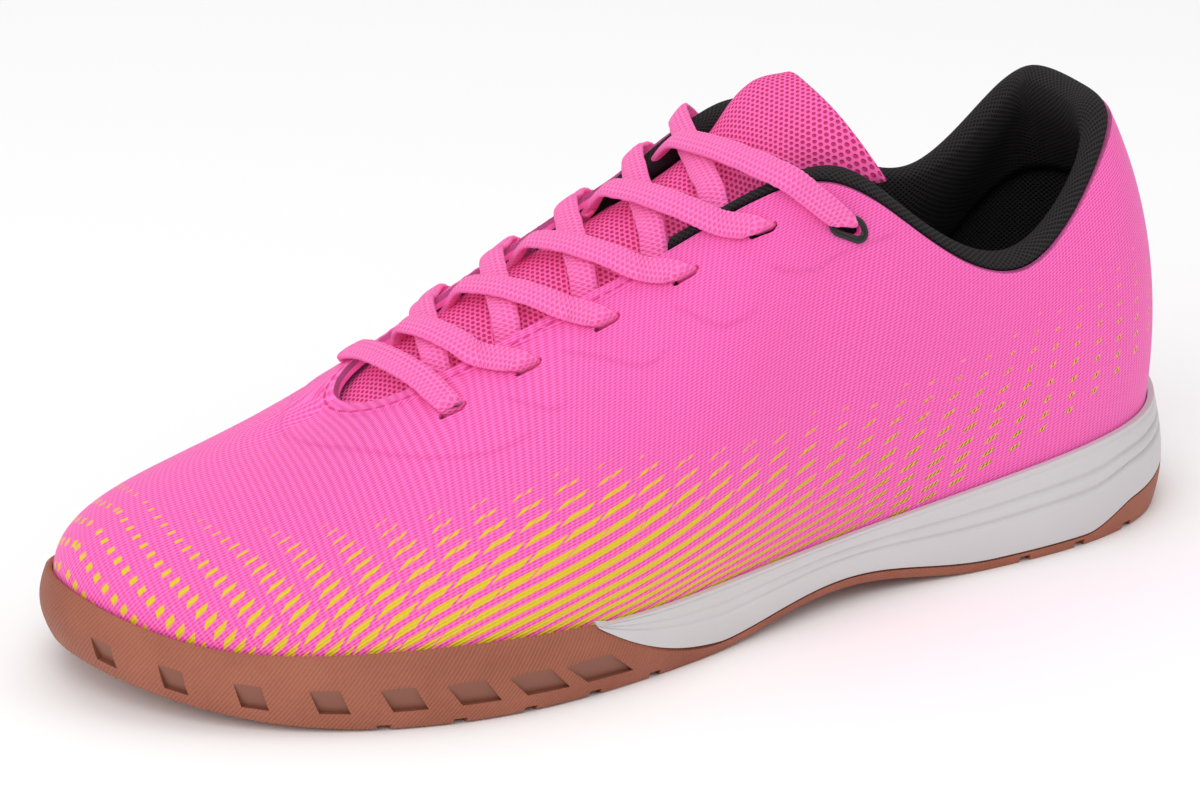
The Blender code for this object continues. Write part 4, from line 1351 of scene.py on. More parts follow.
@dataclass
class Outsole(Part):
    """Gum cup with side windows, flex grooves and a beaded rim."""

    sole: Sole
    stations: int = 260
    side_rows: int = 15
    columns: int = 14
    level_power: float = 1.2
    first_level: float = 0.035
    sharp: float = 32.0
    edge_round: float = 1.0
    bead: float = 0.45
    window_count: int = 8
    window_first: float = 0.615
    window_last: float = 0.945
    window_level: float = 0.47
    window_long_waist: float = 12.0
    window_long_toe: float = 5.5
    window_tall: float = 5.6
    window_slant_waist: float = 1.2
    window_slant_toe: float = 0.3
    window_deep_top: float = 0.1
    window_deep_bottom: float = 1.6
    grooves: tuple[float, ...] = (22.0, 38.0, 54.0, 160.0, 176.0, 192.0, 208.0, 224.0)
    groove_wide: float = 3.0
    groove_deep: float = 1.6
    cutter_reach: float = 4.0
    cutter_half: float = 80.0

    def chain(self, u: Array) -> Array:
        """Side at each u: rounded tread edge, belly, beaded rim and cup wall.

        Args:
            u: Places round the foot.

        Returns:
            Points by station and place up the side.
        """
        top = self.last.side_level(u, self.sole.gum_top(u))
        share = self.sole.gum_share(self.last.spline(u)[..., ALONG])[..., None]
        out = self.last.out(u)
        start = self.last.sole_side(u, 0.0) - self.edge_round * out
        levels = np.linspace(0.0, 1.0, self.side_rows) ** self.level_power
        levels[0] = self.first_level
        side = [self.last.sole_side(u, top * level) for level in levels]
        inside = [a + (b - a) * share for a, b in zip(self.sole.seat(u), self.last.cup_wall(u))]
        bead = (side[-1] + inside[0]) / 2.0 + self.bead * share * UP
        return np.stack([start] + side + [bead] + inside, axis=1)

    def windows(self) -> Piece:
        """Cutter of slanted wedges, deepest at their lower edge.

        Returns:
            The cutter.
        """
        share = np.linspace(0.0, 1.0, self.window_count)
        places = self.window_first + (self.window_last - self.window_first) * share
        near = (1.0 - share) ** 2
        longs = self.window_long_toe + (self.window_long_waist - self.window_long_toe) * near
        slants = self.window_slant_toe + (self.window_slant_waist - self.window_slant_toe) * near
        u = np.concatenate([places, 2.0 - places])
        centre = self.last.sole_side(u, self.window_level)
        along = unit(self.last.sole_side(u + STEP, self.window_level) - centre)
        climb = unit(self.last.sole_side(u, self.window_level + STEP) - centre)
        out = unit(np.cross(along, climb))
        forward = along * np.where(u < 1.0, 1.0, -1.0)[:, None]
        long = np.tile(longs, 2)[:, None]
        slant = np.tile(slants, 2)[:, None]
        corners = []
        for up, deep in ((-0.5, self.window_deep_bottom), (0.5, self.window_deep_top)):
            for side in (-0.5, 0.5):
                shift = side * long + up * slant * self.window_tall
                base = centre + shift * forward + up * self.window_tall * climb
                corners += [base - deep * out, base + self.cutter_reach * out]
        return self.boxes("window_cutter", np.stack(corners, axis=1))

    def flex_grooves(self) -> Piece:
        """Cutter of bars across the tread.

        Returns:
            The cutter.
        """
        s = np.array(self.grooves)
        deep = self.last.ground(s) + self.groove_deep
        corners = []
        for z in (np.full_like(s, -self.cutter_reach), deep):
            for y in (-self.cutter_half, self.cutter_half):
                for side in (-0.5, 0.5):
                    along = s + side * self.groove_wide
                    corners.append(np.stack([along, np.full_like(s, y), z], axis=1))
        return self.boxes("groove_cutter", np.stack(corners, axis=1))

    def boxes(self, name: str, corners: Array) -> Piece:
        """Mesh of six-sided blocks from their eight corners each.

        Args:
            name: Name of the object.
            corners: Points by block and corner.

        Returns:
            The object.
        """
        faces = np.arange(len(corners))[:, None, None] * BOX_CORNERS + np.array(BOX_FACES)
        points = self.last.world(corners.reshape(-1, 3))
        mesh = bpy.data.meshes.new(name)
        mesh.from_pydata(points.tolist(), [], faces.reshape(-1, 4).tolist())
        weld(mesh)
        return add_object(name, mesh)

    def build(self, finishes: Finishes) -> None:
        """Makes the outsole and cuts its windows and grooves."""
        u = np.linspace(0.0, 1.0, self.stations + 1)
        ground = self.last.ground
        rings = self.sole.rings(self.chain, u, self.sole.gum_floor, ground, self.columns)
        patch = Patch(rings, {"side": self.sole.side_map(rings)}, wrap_columns=True)
        piece = make_mesh("outsole_gum", self.last, [patch], finishes.gum)
        windows = self.windows()
        # The window floors take a darker gum: painted shade in the recesses.
        windows.data.materials.append(finishes.smooth_gum)
        cut(piece, windows)
        cut(piece, self.flex_grooves())
        piece.data.set_sharp_from_angle(angle=math.radians(self.sharp))
        settle(piece, ["outsole"])


@dataclass
class Midsole(Part):
    """White foam between gum and upper, with moulded lines that fade towards the toe."""

    sole: Sole
    stations: int = 260
    side_rows: int = 46
    columns: int = 6
    sharp: float = 40.0
    lines: tuple[float, ...] = (0.54, 0.72)
    line_deep: float = 0.9
    line_half: float = 0.055
    line_fade: float = 0.60
    line_least: float = 0.25
    lip_line: float = 0.93
    lip_deep: float = 0.25
    lip_half: float = 0.03

    def chain(self, u: Array) -> Array:
        """Side at each u, from the gum plate's edge over the moulded lines to the cup's floor.

        Args:
            u: Places round the foot.

        Returns:
            Points by station and place up the side.
        """
        share = self.sole.gum_share(self.last.spline(u)[..., ALONG])[..., None]
        lift = self.sole.foam_lift + self.sole.foam_tip_lift * ease(share / self.sole.foam_tip_run)
        pairs = zip(self.sole.seat(u, self.last.gap), self.last.cup_wall(u))
        seat = [a + (b - a) * share + lift * UP for a, b in pairs]
        start = self.last.side_level(u, self.sole.gum_top(u) + lift[..., 0])
        fade = self.line_least + (1.0 - self.line_least) * (1.0 - ease(from_heel(u) / self.line_fade))
        out = self.last.out(u)
        side = []
        for level in np.linspace(0.0, 1.0, self.side_rows):
            deep = sum(ease(1.0 - abs(level - line) / self.line_half) for line in self.lines)
            deep = deep * self.line_deep * fade
            deep = deep + self.lip_deep * ease(1.0 - abs(level - self.lip_line) / self.lip_half)
            point = self.last.sole_side(u, start + (1.0 - start) * level)
            side.append(point - out * deep[..., None])
        return np.stack(seat[::-1] + side + self.last.cup_wall(u), axis=1)

    def build(self, finishes: Finishes) -> None:
        """Makes the foam from the heel to its tip on the forefoot's side."""
        u = np.linspace(0.0, 1.0, self.stations + 1)
        u = u[self.sole.gum_share(self.last.spline(u)[..., ALONG]) < self.sole.foam_tip]
        floor = self.sole.gum_floor
        lift = self.sole.foam_lift
        rings = self.sole.rings(
            self.chain, u, self.last.cup_floor, lambda s: floor(s) + lift, self.columns
        )
        rings = np.concatenate([rings, pole(rings[-1])])
        patch = Patch(rings, {"side": self.sole.side_map(rings)}, wrap_columns=True)
        piece = make_mesh("midsole_foam", self.last, [patch], finishes.foam)
        piece.data.set_sharp_from_angle(angle=math.radians(self.sharp))
        settle(piece, ["midsole"])


@dataclass
class Upper(Part):
    """Hollow textile upper with its embossed lines, folded throat edge and lace slots."""

    around: int = 560
    rows: int = 80
    fold_rows: int = 30
    fold_band: float = 7.0
    inner_rows: int = 14
    hidden_rows: tuple[float, ...] = (0.0, 0.5, 0.9)
    coarse_rows: int = 24
    crown: float = 0.5
    lining_round: float = 300.0
    sharp: float = 60.0
    strip_wide: float = 4.2
    strip_high: float = 0.5
    strip_soft: float = 0.7
    strip_start: float = 0.58
    strip_run: float = 0.05
    stitch_at: float = SEWN_BELOW
    stitch_deep: float = 0.3
    stitch_half: float = 0.55
    slot_long: float = SLOT_LONG
    slot_wide: float = SLOT_WIDE
    cutter_reach: float = 4.0
    print_start: float = 0.31
    print_row: float = 4.2
    print_grow: float = 22.0
    print_level: float = 12.0
    print_steps: int = 25
    print_below: float = -1.0
    print_narrow: float = 0.5
    dashes: tuple[PrintRow, ...] = (
        PrintRow(0.00, 7.8, 0.000, 0.30, 2.9, 46.0, 0.23, 0.36, 0.2, 1.0, 0.0),
        PrintRow(0.10, 7.8, 0.000, 0.30, 2.9, 46.0, 0.24, 0.36, 0.2, 1.0, 0.0),
        PrintRow(0.20, 7.6, 0.000, 0.30, 2.9, 42.0, 0.32, 0.36, 0.3, 1.0, 0.0),
        PrintRow(0.30, 7.4, 0.000, 0.29, 2.7, 38.0, 0.66, 0.38, 0.6, 0.9, 0.2),
        PrintRow(0.40, 7.6, 0.000, 0.28, 2.1, 36.0, 1.15, 0.42, 0.8, 0.5, 0.6),
        PrintRow(0.50, 8.0, 0.020, 0.27, 1.6, 36.0, 1.35, 0.54, 0.6, 0.0, 1.0),
        PrintRow(0.60, 8.5, 0.040, 0.30, 2.0, 38.0, 1.35, 0.68, 0.4, 0.0, 1.0),
        PrintRow(0.66, 8.8, 0.055, 0.36, 2.8, 38.0, 1.15, 0.66, 0.4, 0.0, 1.0),
        PrintRow(0.75, 8.9, 0.072, 0.55, 3.7, 34.0, 0.90, 0.64, 0.4, 0.0, 1.0),
        PrintRow(0.85, 10.0, 0.110, 1.20, 5.0, 32.0, 0.66, 0.56, 0.3, 0.0, 0.8),
        PrintRow(0.93, 14.0, 0.150, 2.20, 8.0, 30.0, 0.38, 0.54, 0.2, 0.0, 0.0),
        PrintRow(1.00, 20.0, 0.170, 3.00, 12.0, 30.0, 0.34, 0.52, 0.2, 0.0, 0.0),
    )
    crease_high: float = 0.35
    crease_step: float = 1.2
    crease_fall: float = 7.0
    crease_end: float = 0.012
    crease_wide: float = 0.55
    # How far the embossed lines darken: pressing, with painted shade in the creases.
    crease_dark: float = 0.42
    crease_steps: int = 60
    grain: Grain = Grain(
        (0.00, 0.50, 0.66, 0.75, 0.85, 0.93, 1.00, 1.07, 1.15, 1.25, 1.35, 1.50, 2.00),
        (-15.0, -15.0, -20.0, -29.0, -48.0, -64.0, -77.0, -93.0, -115.0, -135.0, -150.0, -163.0, -165.0),
    )
    creases: tuple[Crease, ...] = (
        Crease((0.68, 0.71, 0.73, 0.85, 1.02), (31.0, 31.0, 29.0, 15.0, 14.0)),
        Crease((0.655, 0.67, 0.695, 0.72), (27.0, 27.5, 22.0, 15.5)),
        Crease((0.57, 0.595, 0.64, 0.68), (26.0, 27.5, 19.0, 11.0)),
        Crease((0.49, 0.505, 0.53, 0.58), (27.0, 28.5, 27.5, 15.0)),
        Crease((0.375, 0.425, 0.445, 0.47, 0.495), (3.0, 14.5, 19.5, 20.5, 17.5)),
    )

    def crease_lines(self, side: Array, below: Array) -> list[tuple[Array, Array]]:
        """Distance below each embossed line, and the line's strength, which fades at its ends.

        Args:
            side: Places counted from the heel.
            below: Millimetres below the edge.

        Returns:
            Grids of distance and strength for each line.
        """
        lines = []
        for crease in self.creases:
            line_u, line_below = smooth_path(np.transpose(crease), self.crease_steps).T
            far = below - np.interp(side, line_u, line_below)
            start = ease((side - line_u[0]) / self.crease_end)
            end = ease((line_u[-1] - side) / self.crease_end)
            lines.append((far, start * end))
        return lines

    def pressed(self, side: Array, below: Array) -> Array:
        """Share of cloth darkened along the embossed lines by pressing and painted shade: a bell curve
        across each line.
        """
        lines = self.crease_lines(side, below)
        bells = [ends * np.exp(-((far / self.crease_wide) ** 2)) for far, ends in lines]
        return self.crease_dark * np.max(bells, axis=0)

    def embossed(self, side: Array, below: Array) -> Array:
        """Height over the embossed lines: a soft step that fades out above each line.

        Args:
            side: Places counted from the heel.
            below: Millimetres below the edge.

        Returns:
            Millimetres outwards.
        """
        total = np.zeros_like(below)
        for far, ends in self.crease_lines(side, below):
            step = ease(0.5 - far / self.crease_step) * np.exp(np.minimum(far, 0.0) / self.crease_fall)
            total = total + ends * self.crease_high * step
        return total

    def relief(self, u: Array, below: Array) -> Array:
        """Height over the plain surface: embossed lines, folded edge strip and its sewn groove.

        Args:
            u: Place round the foot.
            below: Distance below the edge in millimetres.

        Returns:
            Millimetres outwards.
        """
        side = from_heel(u)
        throat = ease((side - self.strip_start) / self.strip_run)
        strip = self.strip_high * ease((self.strip_wide - below) / self.strip_soft)
        groove = self.stitch_deep * np.exp(-(((below - self.stitch_at) / self.stitch_half) ** 2))
        return self.embossed(side, below) + throat * (strip - groove)

    def weave_map(self, u: Array, height: Array) -> Array:
        """Places on the cloth in millimetres, along and across the ribs of its weave.

        With a the rim's length from the heel, h the height over the rim and t the ribs' turn, the
        place along is the sum of cos t da plus h sin t, and across the sum of -sin t da plus h cos t.

        Args:
            u: Places round the foot, in order from 0 to 2.
            height: Height over the rim along the rib, by place and row.

        Returns:
            Texture coordinates by place and row.
        """
        turn = np.radians(np.interp(u, self.grain.u, self.grain.turn))
        step = np.diff(lengths(self.last.surface(u, self.last.rim_v(u))))
        middle = (turn[1:] + turn[:-1]) / 2.0
        along = np.concatenate([np.zeros(1), np.cumsum(step * np.cos(middle))])[:, None]
        across = np.concatenate([np.zeros(1), np.cumsum(-step * np.sin(middle))])[:, None]
        turn = turn[:, None]
        return np.stack([along + height * np.sin(turn), across + height * np.cos(turn)], axis=-1)

    def print_value(self, u: Array, name: str) -> Array:
        """One column of the print's table at each place round the foot."""
        table = np.array(self.dashes)
        return np.interp(from_heel(u), table[:, 0], table[:, PrintRow._fields.index(name)])[:, None]

    def print_maps(self, u: Array, height: Array) -> dict[str, Array]:
        """Texture coordinates of the dash print.

        Cells count spacings along the rim from the toe, sheared with height. Rows count pitches
        of height over a level line, less slope over pitch added up along the rim from the toe,
        so that each row crosses the level at its slope and the rows fan out above it.

        Args:
            u: Places round the foot, in order from 0 to 2.
            height: Height over the rim along the rib, by place and row.

        Returns:
            Maps of cell and row, of dash size, and of pits and spacing.
        """
        side = from_heel(u)
        values = {name: self.print_value(u, name) for name in PrintRow._fields}
        line = self.last.surface(u, self.last.rim_v(u))
        step = np.linalg.norm(np.diff(line, axis=0), axis=-1)[:, None]
        middle = len(u) // 2
        grown = {}
        tall = np.maximum(self.print_row - values["pitch"], 0.0)
        levels = np.linspace(0.0, self.print_level, self.print_steps)[None]
        pitches = values["pitch"] + tall * ease(levels / self.print_grow)
        reference = self.print_level * np.mean(1.0 / pitches, axis=1)[:, None]
        rates = {"cells": 1.0 / values["period"], "rows": values["slope"] / pitches[:, -1:]}
        for name, rate in rates.items():
            total = np.cumsum(step * (rate[1:] + rate[:-1]) / 2.0, axis=0)
            total = np.concatenate([np.zeros((1, 1)), total])
            grown[name] = np.abs(total - total[middle])
        cell = grown["cells"] + values["shear"] * height
        pitch = values["pitch"] + tall * ease(height / self.print_grow)
        climb = np.cumsum(2.0 * np.diff(height, axis=1) / (pitch[:, 1:] + pitch[:, :-1]), axis=1)
        climb = np.concatenate([np.zeros((len(u), 1)), climb], axis=1)
        rim = np.argmin(np.abs(height[0]))
        start = -reference - grown["rows"]
        row = climb - climb[:, rim : rim + 1] + start
        lowest = np.interp(self.print_start, side[: middle + 1], start[: middle + 1, 0])
        inside = np.clip(1.0 - np.maximum(height, 0.0) / values["reach"], 0.0, 1.0)
        inside = np.where((height > self.print_below) & (row > lowest), inside, 0.0)
        long = values["long"] * inside ** values["fade"] * (inside > 0.0)
        wide = values["wide"] * inside**self.print_narrow
        pits = np.broadcast_to(values["pits"], height.shape)
        period = np.broadcast_to(values["period"], height.shape)
        return {
            "print": np.stack([cell, row], axis=-1),
            "dash": np.stack([long, wide], axis=-1),
            "tone": np.stack([pits, period], axis=-1),
        }

    def build(self, finishes: Finishes) -> None:
        """Makes the wall between the outer face and the same face moved inwards."""
        u = np.linspace(0.0, 2.0, self.around + 1)
        rim = self.last.rim_v(u)[:, None]
        hidden = rim * np.array(self.hidden_rows)
        steps = np.linspace(0.0, 1.0, self.coarse_rows)
        coarse = self.last.surface(u[:, None], rim + (1.0 - rim) * steps)
        band = self.fold_band / lengths(np.moveaxis(coarse, 1, 0))[-1][:, None]
        plain = np.linspace(0.0, 1.0, self.rows)[None, :-1] * (1.0 - band)
        folded = 1.0 - band * np.linspace(1.0, 0.0, self.fold_rows)[None]
        shown = rim + (1.0 - rim) * np.concatenate([plain, folded], axis=1)
        v = np.concatenate([hidden, shown], axis=1)
        wide_u = np.broadcast_to(u[:, None], v.shape)
        place = self.last.frame(wide_u, v)
        climbed = lengths(np.moveaxis(place.point, 1, 0)).T
        below = climbed[:, -1:] - climbed
        rim_row = len(self.hidden_rows)
        height = climbed - climbed[:, rim_row : rim_row + 1]
        outer = place.point + self.relief(wide_u, below)[..., None] * place.normal
        inner_v = np.linspace(1.0, 0.0, self.inner_rows)[None] * np.ones_like(rim)
        inner_u = np.broadcast_to(u[:, None], inner_v.shape)
        inner = self.last.offset(inner_u, inner_v, -self.last.wall)
        crown = (outer[:, -1:] + inner[:, :1]) / 2.0 + self.crown * place.climb[:, -1:]
        points = np.concatenate([outer, crown, inner], axis=1)
        grids = self.print_maps(u, height)
        grids["weave"] = self.weave_map(u, height)
        # Darkening along the embossed lines, pressing with painted shade, goes into the press map with
        # the share of split dashes.
        pressed = self.pressed(from_heel(wide_u), below)
        parted = np.broadcast_to(self.print_value(u, "split"), pressed.shape)
        grids["press"] = np.stack([pressed, parted], axis=-1)
        rest = np.zeros((len(u), points.shape[1] - outer.shape[1] + 1, 2))
        maps = {name: np.concatenate([grid, rest], axis=1) for name, grid in grids.items()}
        around = np.broadcast_to((u * self.lining_round)[:, None], points.shape[:2])
        maps["cloth"] = np.stack([around, points[..., 2]], axis=-1)
        slot = np.where(np.arange(points.shape[1]) > outer.shape[1], 1, 0)
        patch = Patch(points[:-1], maps, wrap_rows=True, wrap_columns=True, slot=slot)
        piece = make_mesh("upper_textile", self.last, [patch], finishes.textile, finishes.lining)
        cut(piece, self.slots())
        piece.data.set_sharp_from_angle(angle=math.radians(self.sharp))
        settle(piece, ["upper"])

    def slots(self) -> Piece:
        """Cutter of round-ended prisms at every lace slot.

        Returns:
            The cutter.
        """
        patches = []
        for eyelet in EYELETS:
            for u in (eyelet.lateral_u, 2.0 - eyelet.medial_u):
                place = self.last.frame(np.array(u), np.array(eyelet.v))
                plate = stadium(place, self.slot_long, self.slot_wide)
                end = pole(plate)[0]
                reach = self.cutter_reach * place.normal
                rings = np.stack([end - reach, plate - reach, plate + reach, end + reach])
                patches.append(Patch(rings, wrap_columns=True))
        return make_mesh("slot_cutter", self.last, patches)


def stadium(place: Frame, long: float, wide: float, steps: int = 9) -> Array:
    """Outline of a slot with round ends, lying on a surface at a place.

    Args:
        place: Place of its middle.
        long: Length round the foot.
        wide: Width up the rib.
        steps: Points on each round end.

    Returns:
        Points in millimetres.
    """
    radius = wide / 2.0
    angle = np.radians(np.linspace(-90.0, 90.0, steps))
    reach = long / 2.0 - radius
    across = np.concatenate([reach + radius * np.cos(angle), -reach - radius * np.cos(angle)])
    up = np.concatenate([radius * np.sin(angle), -radius * np.sin(angle)])
    return place.point + across[:, None] * place.around + up[:, None] * place.climb


@dataclass
class CollarLining(Part):
    """Padded knit roll over the collar's edge, running down inside the wall."""

    end_u: float = 0.59
    clear: float = 0.6
    foot: float = 26.0
    thin: float = 1.6
    throat_lateral: float = 0.9
    throat_medial: float = 0.4
    throat_lift: float = 2.0
    throat_start: float = 0.42
    throat_run: float = 0.17
    end_run: float = 0.05
    stations: int = 360
    ring_points: int = 60
    section: LiningSection = LiningSection(
        (-12.0, -1.0, 0.4, 1.0, 2.8, 4.4, 4.6, 3.0, -3.0, -12.0),
        (0.0, 0.0, 0.0, -1.7, -1.5, 0.6, 3.0, 5.2, 6.2, 5.0),
    )

    def slim(self, u: Array | float) -> Array:
        """Share of the throat's section: none round the collar, all of it along the throat."""
        return ease((from_heel(np.asarray(u)) - self.throat_start) / self.throat_run)

    def scale(self, u: Array | float) -> Array:
        """Scale of the section: full round the collar, thinner along the throat."""
        throat = np.where(np.asarray(u) < 1.0, self.throat_lateral, self.throat_medial)
        return 1.0 - (1.0 - throat) * self.slim(u)

    def rise(self, u: float) -> float:
        """Height just over the roll past the upper's edge, none past the lining's end."""
        tallest = max(self.section.rise) + self.clear
        left = ease((self.end_u - from_heel(np.array(u))) / self.end_run + 1.0)
        return float(tallest * np.sqrt(self.scale(u)) * left)

    def rib_point(self, u: Array, rise: Array, depth: Array) -> Array:
        """Points a distance along the rib from the edge, at a depth inside the wall.

        Args:
            u: Places round the foot.
            rise: Millimetres past the edge, below zero down the wall.
            depth: Millimetres inside the wall.

        Returns:
            Points in millimetres.
        """
        place = self.last.frame(u, 1.0 + np.minimum(rise, 0.0) / self.last.edge_speed(u))
        proud = self.throat_lift * self.slim(u) * (u < 1.0) * ease(rise)
        inwards = depth + self.last.wall + self.clear - proud
        raised = place.point + np.maximum(rise, 0.0)[..., None] * place.climb
        return raised - inwards[..., None] * place.normal

    def build(self, finishes: Finishes) -> None:
        """Makes the roll with a smooth section."""
        u = np.linspace(-self.end_u, self.end_u, self.stations)
        u = np.mod(u, 2.0)
        scale = self.scale(u)
        foot = -self.foot * scale
        columns = [self.rib_point(u, foot, np.zeros_like(u))]
        for past, inside in zip(*self.section):
            rise = past * np.where(past < 0.0, scale, np.sqrt(scale))
            depth = inside * np.where(inside > 0.0, scale, 1.0)
            columns.append(self.rib_point(u, np.maximum(rise, foot), depth))
        columns.append(self.rib_point(u, foot, np.full(u.shape, self.thin)))
        corners = np.stack(columns)
        flat = smooth_path(corners.reshape(len(columns), -1), self.ring_points)
        rings = np.moveaxis(flat.reshape(self.ring_points, len(u), 3), 0, 1)
        rings = np.concatenate([pole(rings[0]), rings, pole(rings[-1])])
        along = lengths(rings[:, self.ring_points // 2])
        patch = cloth_patch(rings, along, lengths(rings[self.stations // 2]))
        piece = make_mesh("collar_roll", self.last, [patch], finishes.lining)
        settle(piece, ["collar_lining"])


@dataclass
class Tongue(Part):
    """Padded mesh tongue, arched across the throat, with a rounded free end."""

    across: int = 33
    stations: int = 120
    spread: float = 86.0
    lean: float = 34.0
    edge_inset: float = 0.6
    bulge: float = 0.5
    bulge_start: float = 116.0
    bulge_run: float = 18.0
    tip_long: float = 1.1
    tip_turns: tuple[float, ...] = (30.0, 60.0, 90.0)
    rows: tuple[TongueRow, ...] = (
        TongueRow(219.0, 2.0, 49.6, 12.0, 4.0, 1.6, 0.20),
        TongueRow(208.0, 2.0, 54.6, 14.0, 6.0, 2.4, 0.20),
        TongueRow(190.0, 2.0, 65.2, 17.0, 11.0, 4.0, 0.20),
        TongueRow(162.0, 2.0, 77.2, 18.0, 13.0, 5.0, 0.20),
        TongueRow(133.0, 2.0, 89.2, 17.0, 14.5, 5.0, 0.23),
        TongueRow(118.0, 2.0, 96.8, 14.5, 13.5, 5.0, 0.38),
        TongueRow(109.0, 1.5, 105.0, 14.0, 11.5, 5.0, 0.42),
        TongueRow(104.5, 1.0, 107.8, 15.0, 13.0, 5.0, 0.42),
        TongueRow(101.0, 0.0, 110.0, 16.0, 16.5, 4.5, 0.36),
        TongueRow(95.0, -1.0, 112.4, 17.0, 21.5, 2.5, 0.20),
    )

    def face(self, rows: Array, inset: float) -> Array:
        """Arch across the tongue at every row, moved inwards by a share of its thickness.

        The arch drops by the sag times 1 - cos of its angle, to a power that fills it out at the
        free end.

        Args:
            rows: Sections along the tongue.
            inset: Share of the thickness.

        Returns:
            Points by section and place across.
        """
        s, centre, z, half, sag, thick, tilt = (column[:, None] for column in rows.T)
        angle = np.radians(np.linspace(-self.spread, self.spread, self.across))[None]
        reach = (half - inset * self.edge_inset * thick) * np.sin(angle)
        power = 1.0 + self.bulge * ease((self.bulge_start - s) / self.bulge_run)
        drop = inset * thick + (sag - inset * thick) * (1.0 - np.cos(angle)) ** power
        lean = math.radians(self.lean)
        along = s - drop * math.sin(lean)
        up = z - drop * math.cos(lean) + tilt * reach
        return np.stack([along, centre + reach, up], axis=-1)

    def build(self, finishes: Finishes) -> None:
        """Makes the tongue between its outer and inner faces."""
        rows = smooth_path(self.rows, self.stations)
        outer = self.face(rows, 0.0)
        inner = self.face(rows, 1.0)
        rings = np.concatenate([outer, inner[:, ::-1]], axis=1)
        heading = unit(rings[-1] - rings[-3])
        heading = unit(heading + heading[::-1])
        middle = (outer[-1] + inner[-1]) / 2.0
        middle = np.concatenate([middle, middle[::-1]])
        caps = []
        for turn in np.radians(self.tip_turns):
            shrunk = middle + (rings[-1] - middle) * math.cos(turn)
            caps.append(shrunk + heading * self.tip_long * math.sin(turn))
        rings = np.concatenate([pole(rings[0]), rings, np.array(caps)])
        along = lengths(rings[:, self.across // 2])
        patch = cloth_patch(rings, along, lengths(rings[self.stations // 2]))
        piece = make_mesh("tongue_pad", self.last, [patch], finishes.mesh)
        settle(piece, ["tongue"])


@dataclass
class Insole(Part):
    """Footbed on the sole inside the upper."""

    sole: Sole
    thick: float = 3.5
    clear: float = 0.6
    stations: int = 120
    columns: int = 12
    edge: FootbedEdge = FootbedEdge((0.0, 0.0, 0.5, 1.2), (0.0, 0.70, 0.93, 1.0))

    def chain(self, u: Array) -> Array:
        """Edge of the footbed, rounded at its top.

        Args:
            u: Places round the foot.

        Returns:
            Points by station and place up the edge.
        """
        low = self.last.offset(u, np.zeros_like(u), -self.last.wall - self.clear)
        floor = self.last.bed(self.last.spline(u)[..., ALONG])
        out = self.last.out(u)
        points = []
        for inset, share in zip(*self.edge):
            points.append(lifted(low - inset * out, floor + share * self.thick))
        return np.stack(points, axis=1)

    def build(self, finishes: Finishes) -> None:
        """Makes the footbed."""
        u = np.linspace(0.0, 1.0, self.stations + 1)
        bed = self.last.bed
        rings = self.sole.rings(self.chain, u, lambda s: bed(s) + self.thick, bed, self.columns)
        patch = Patch(rings, {"cloth": rings[..., :2]}, wrap_columns=True)
        piece = make_mesh("footbed", self.last, [patch], finishes.lining)
        settle(piece, ["insole"])


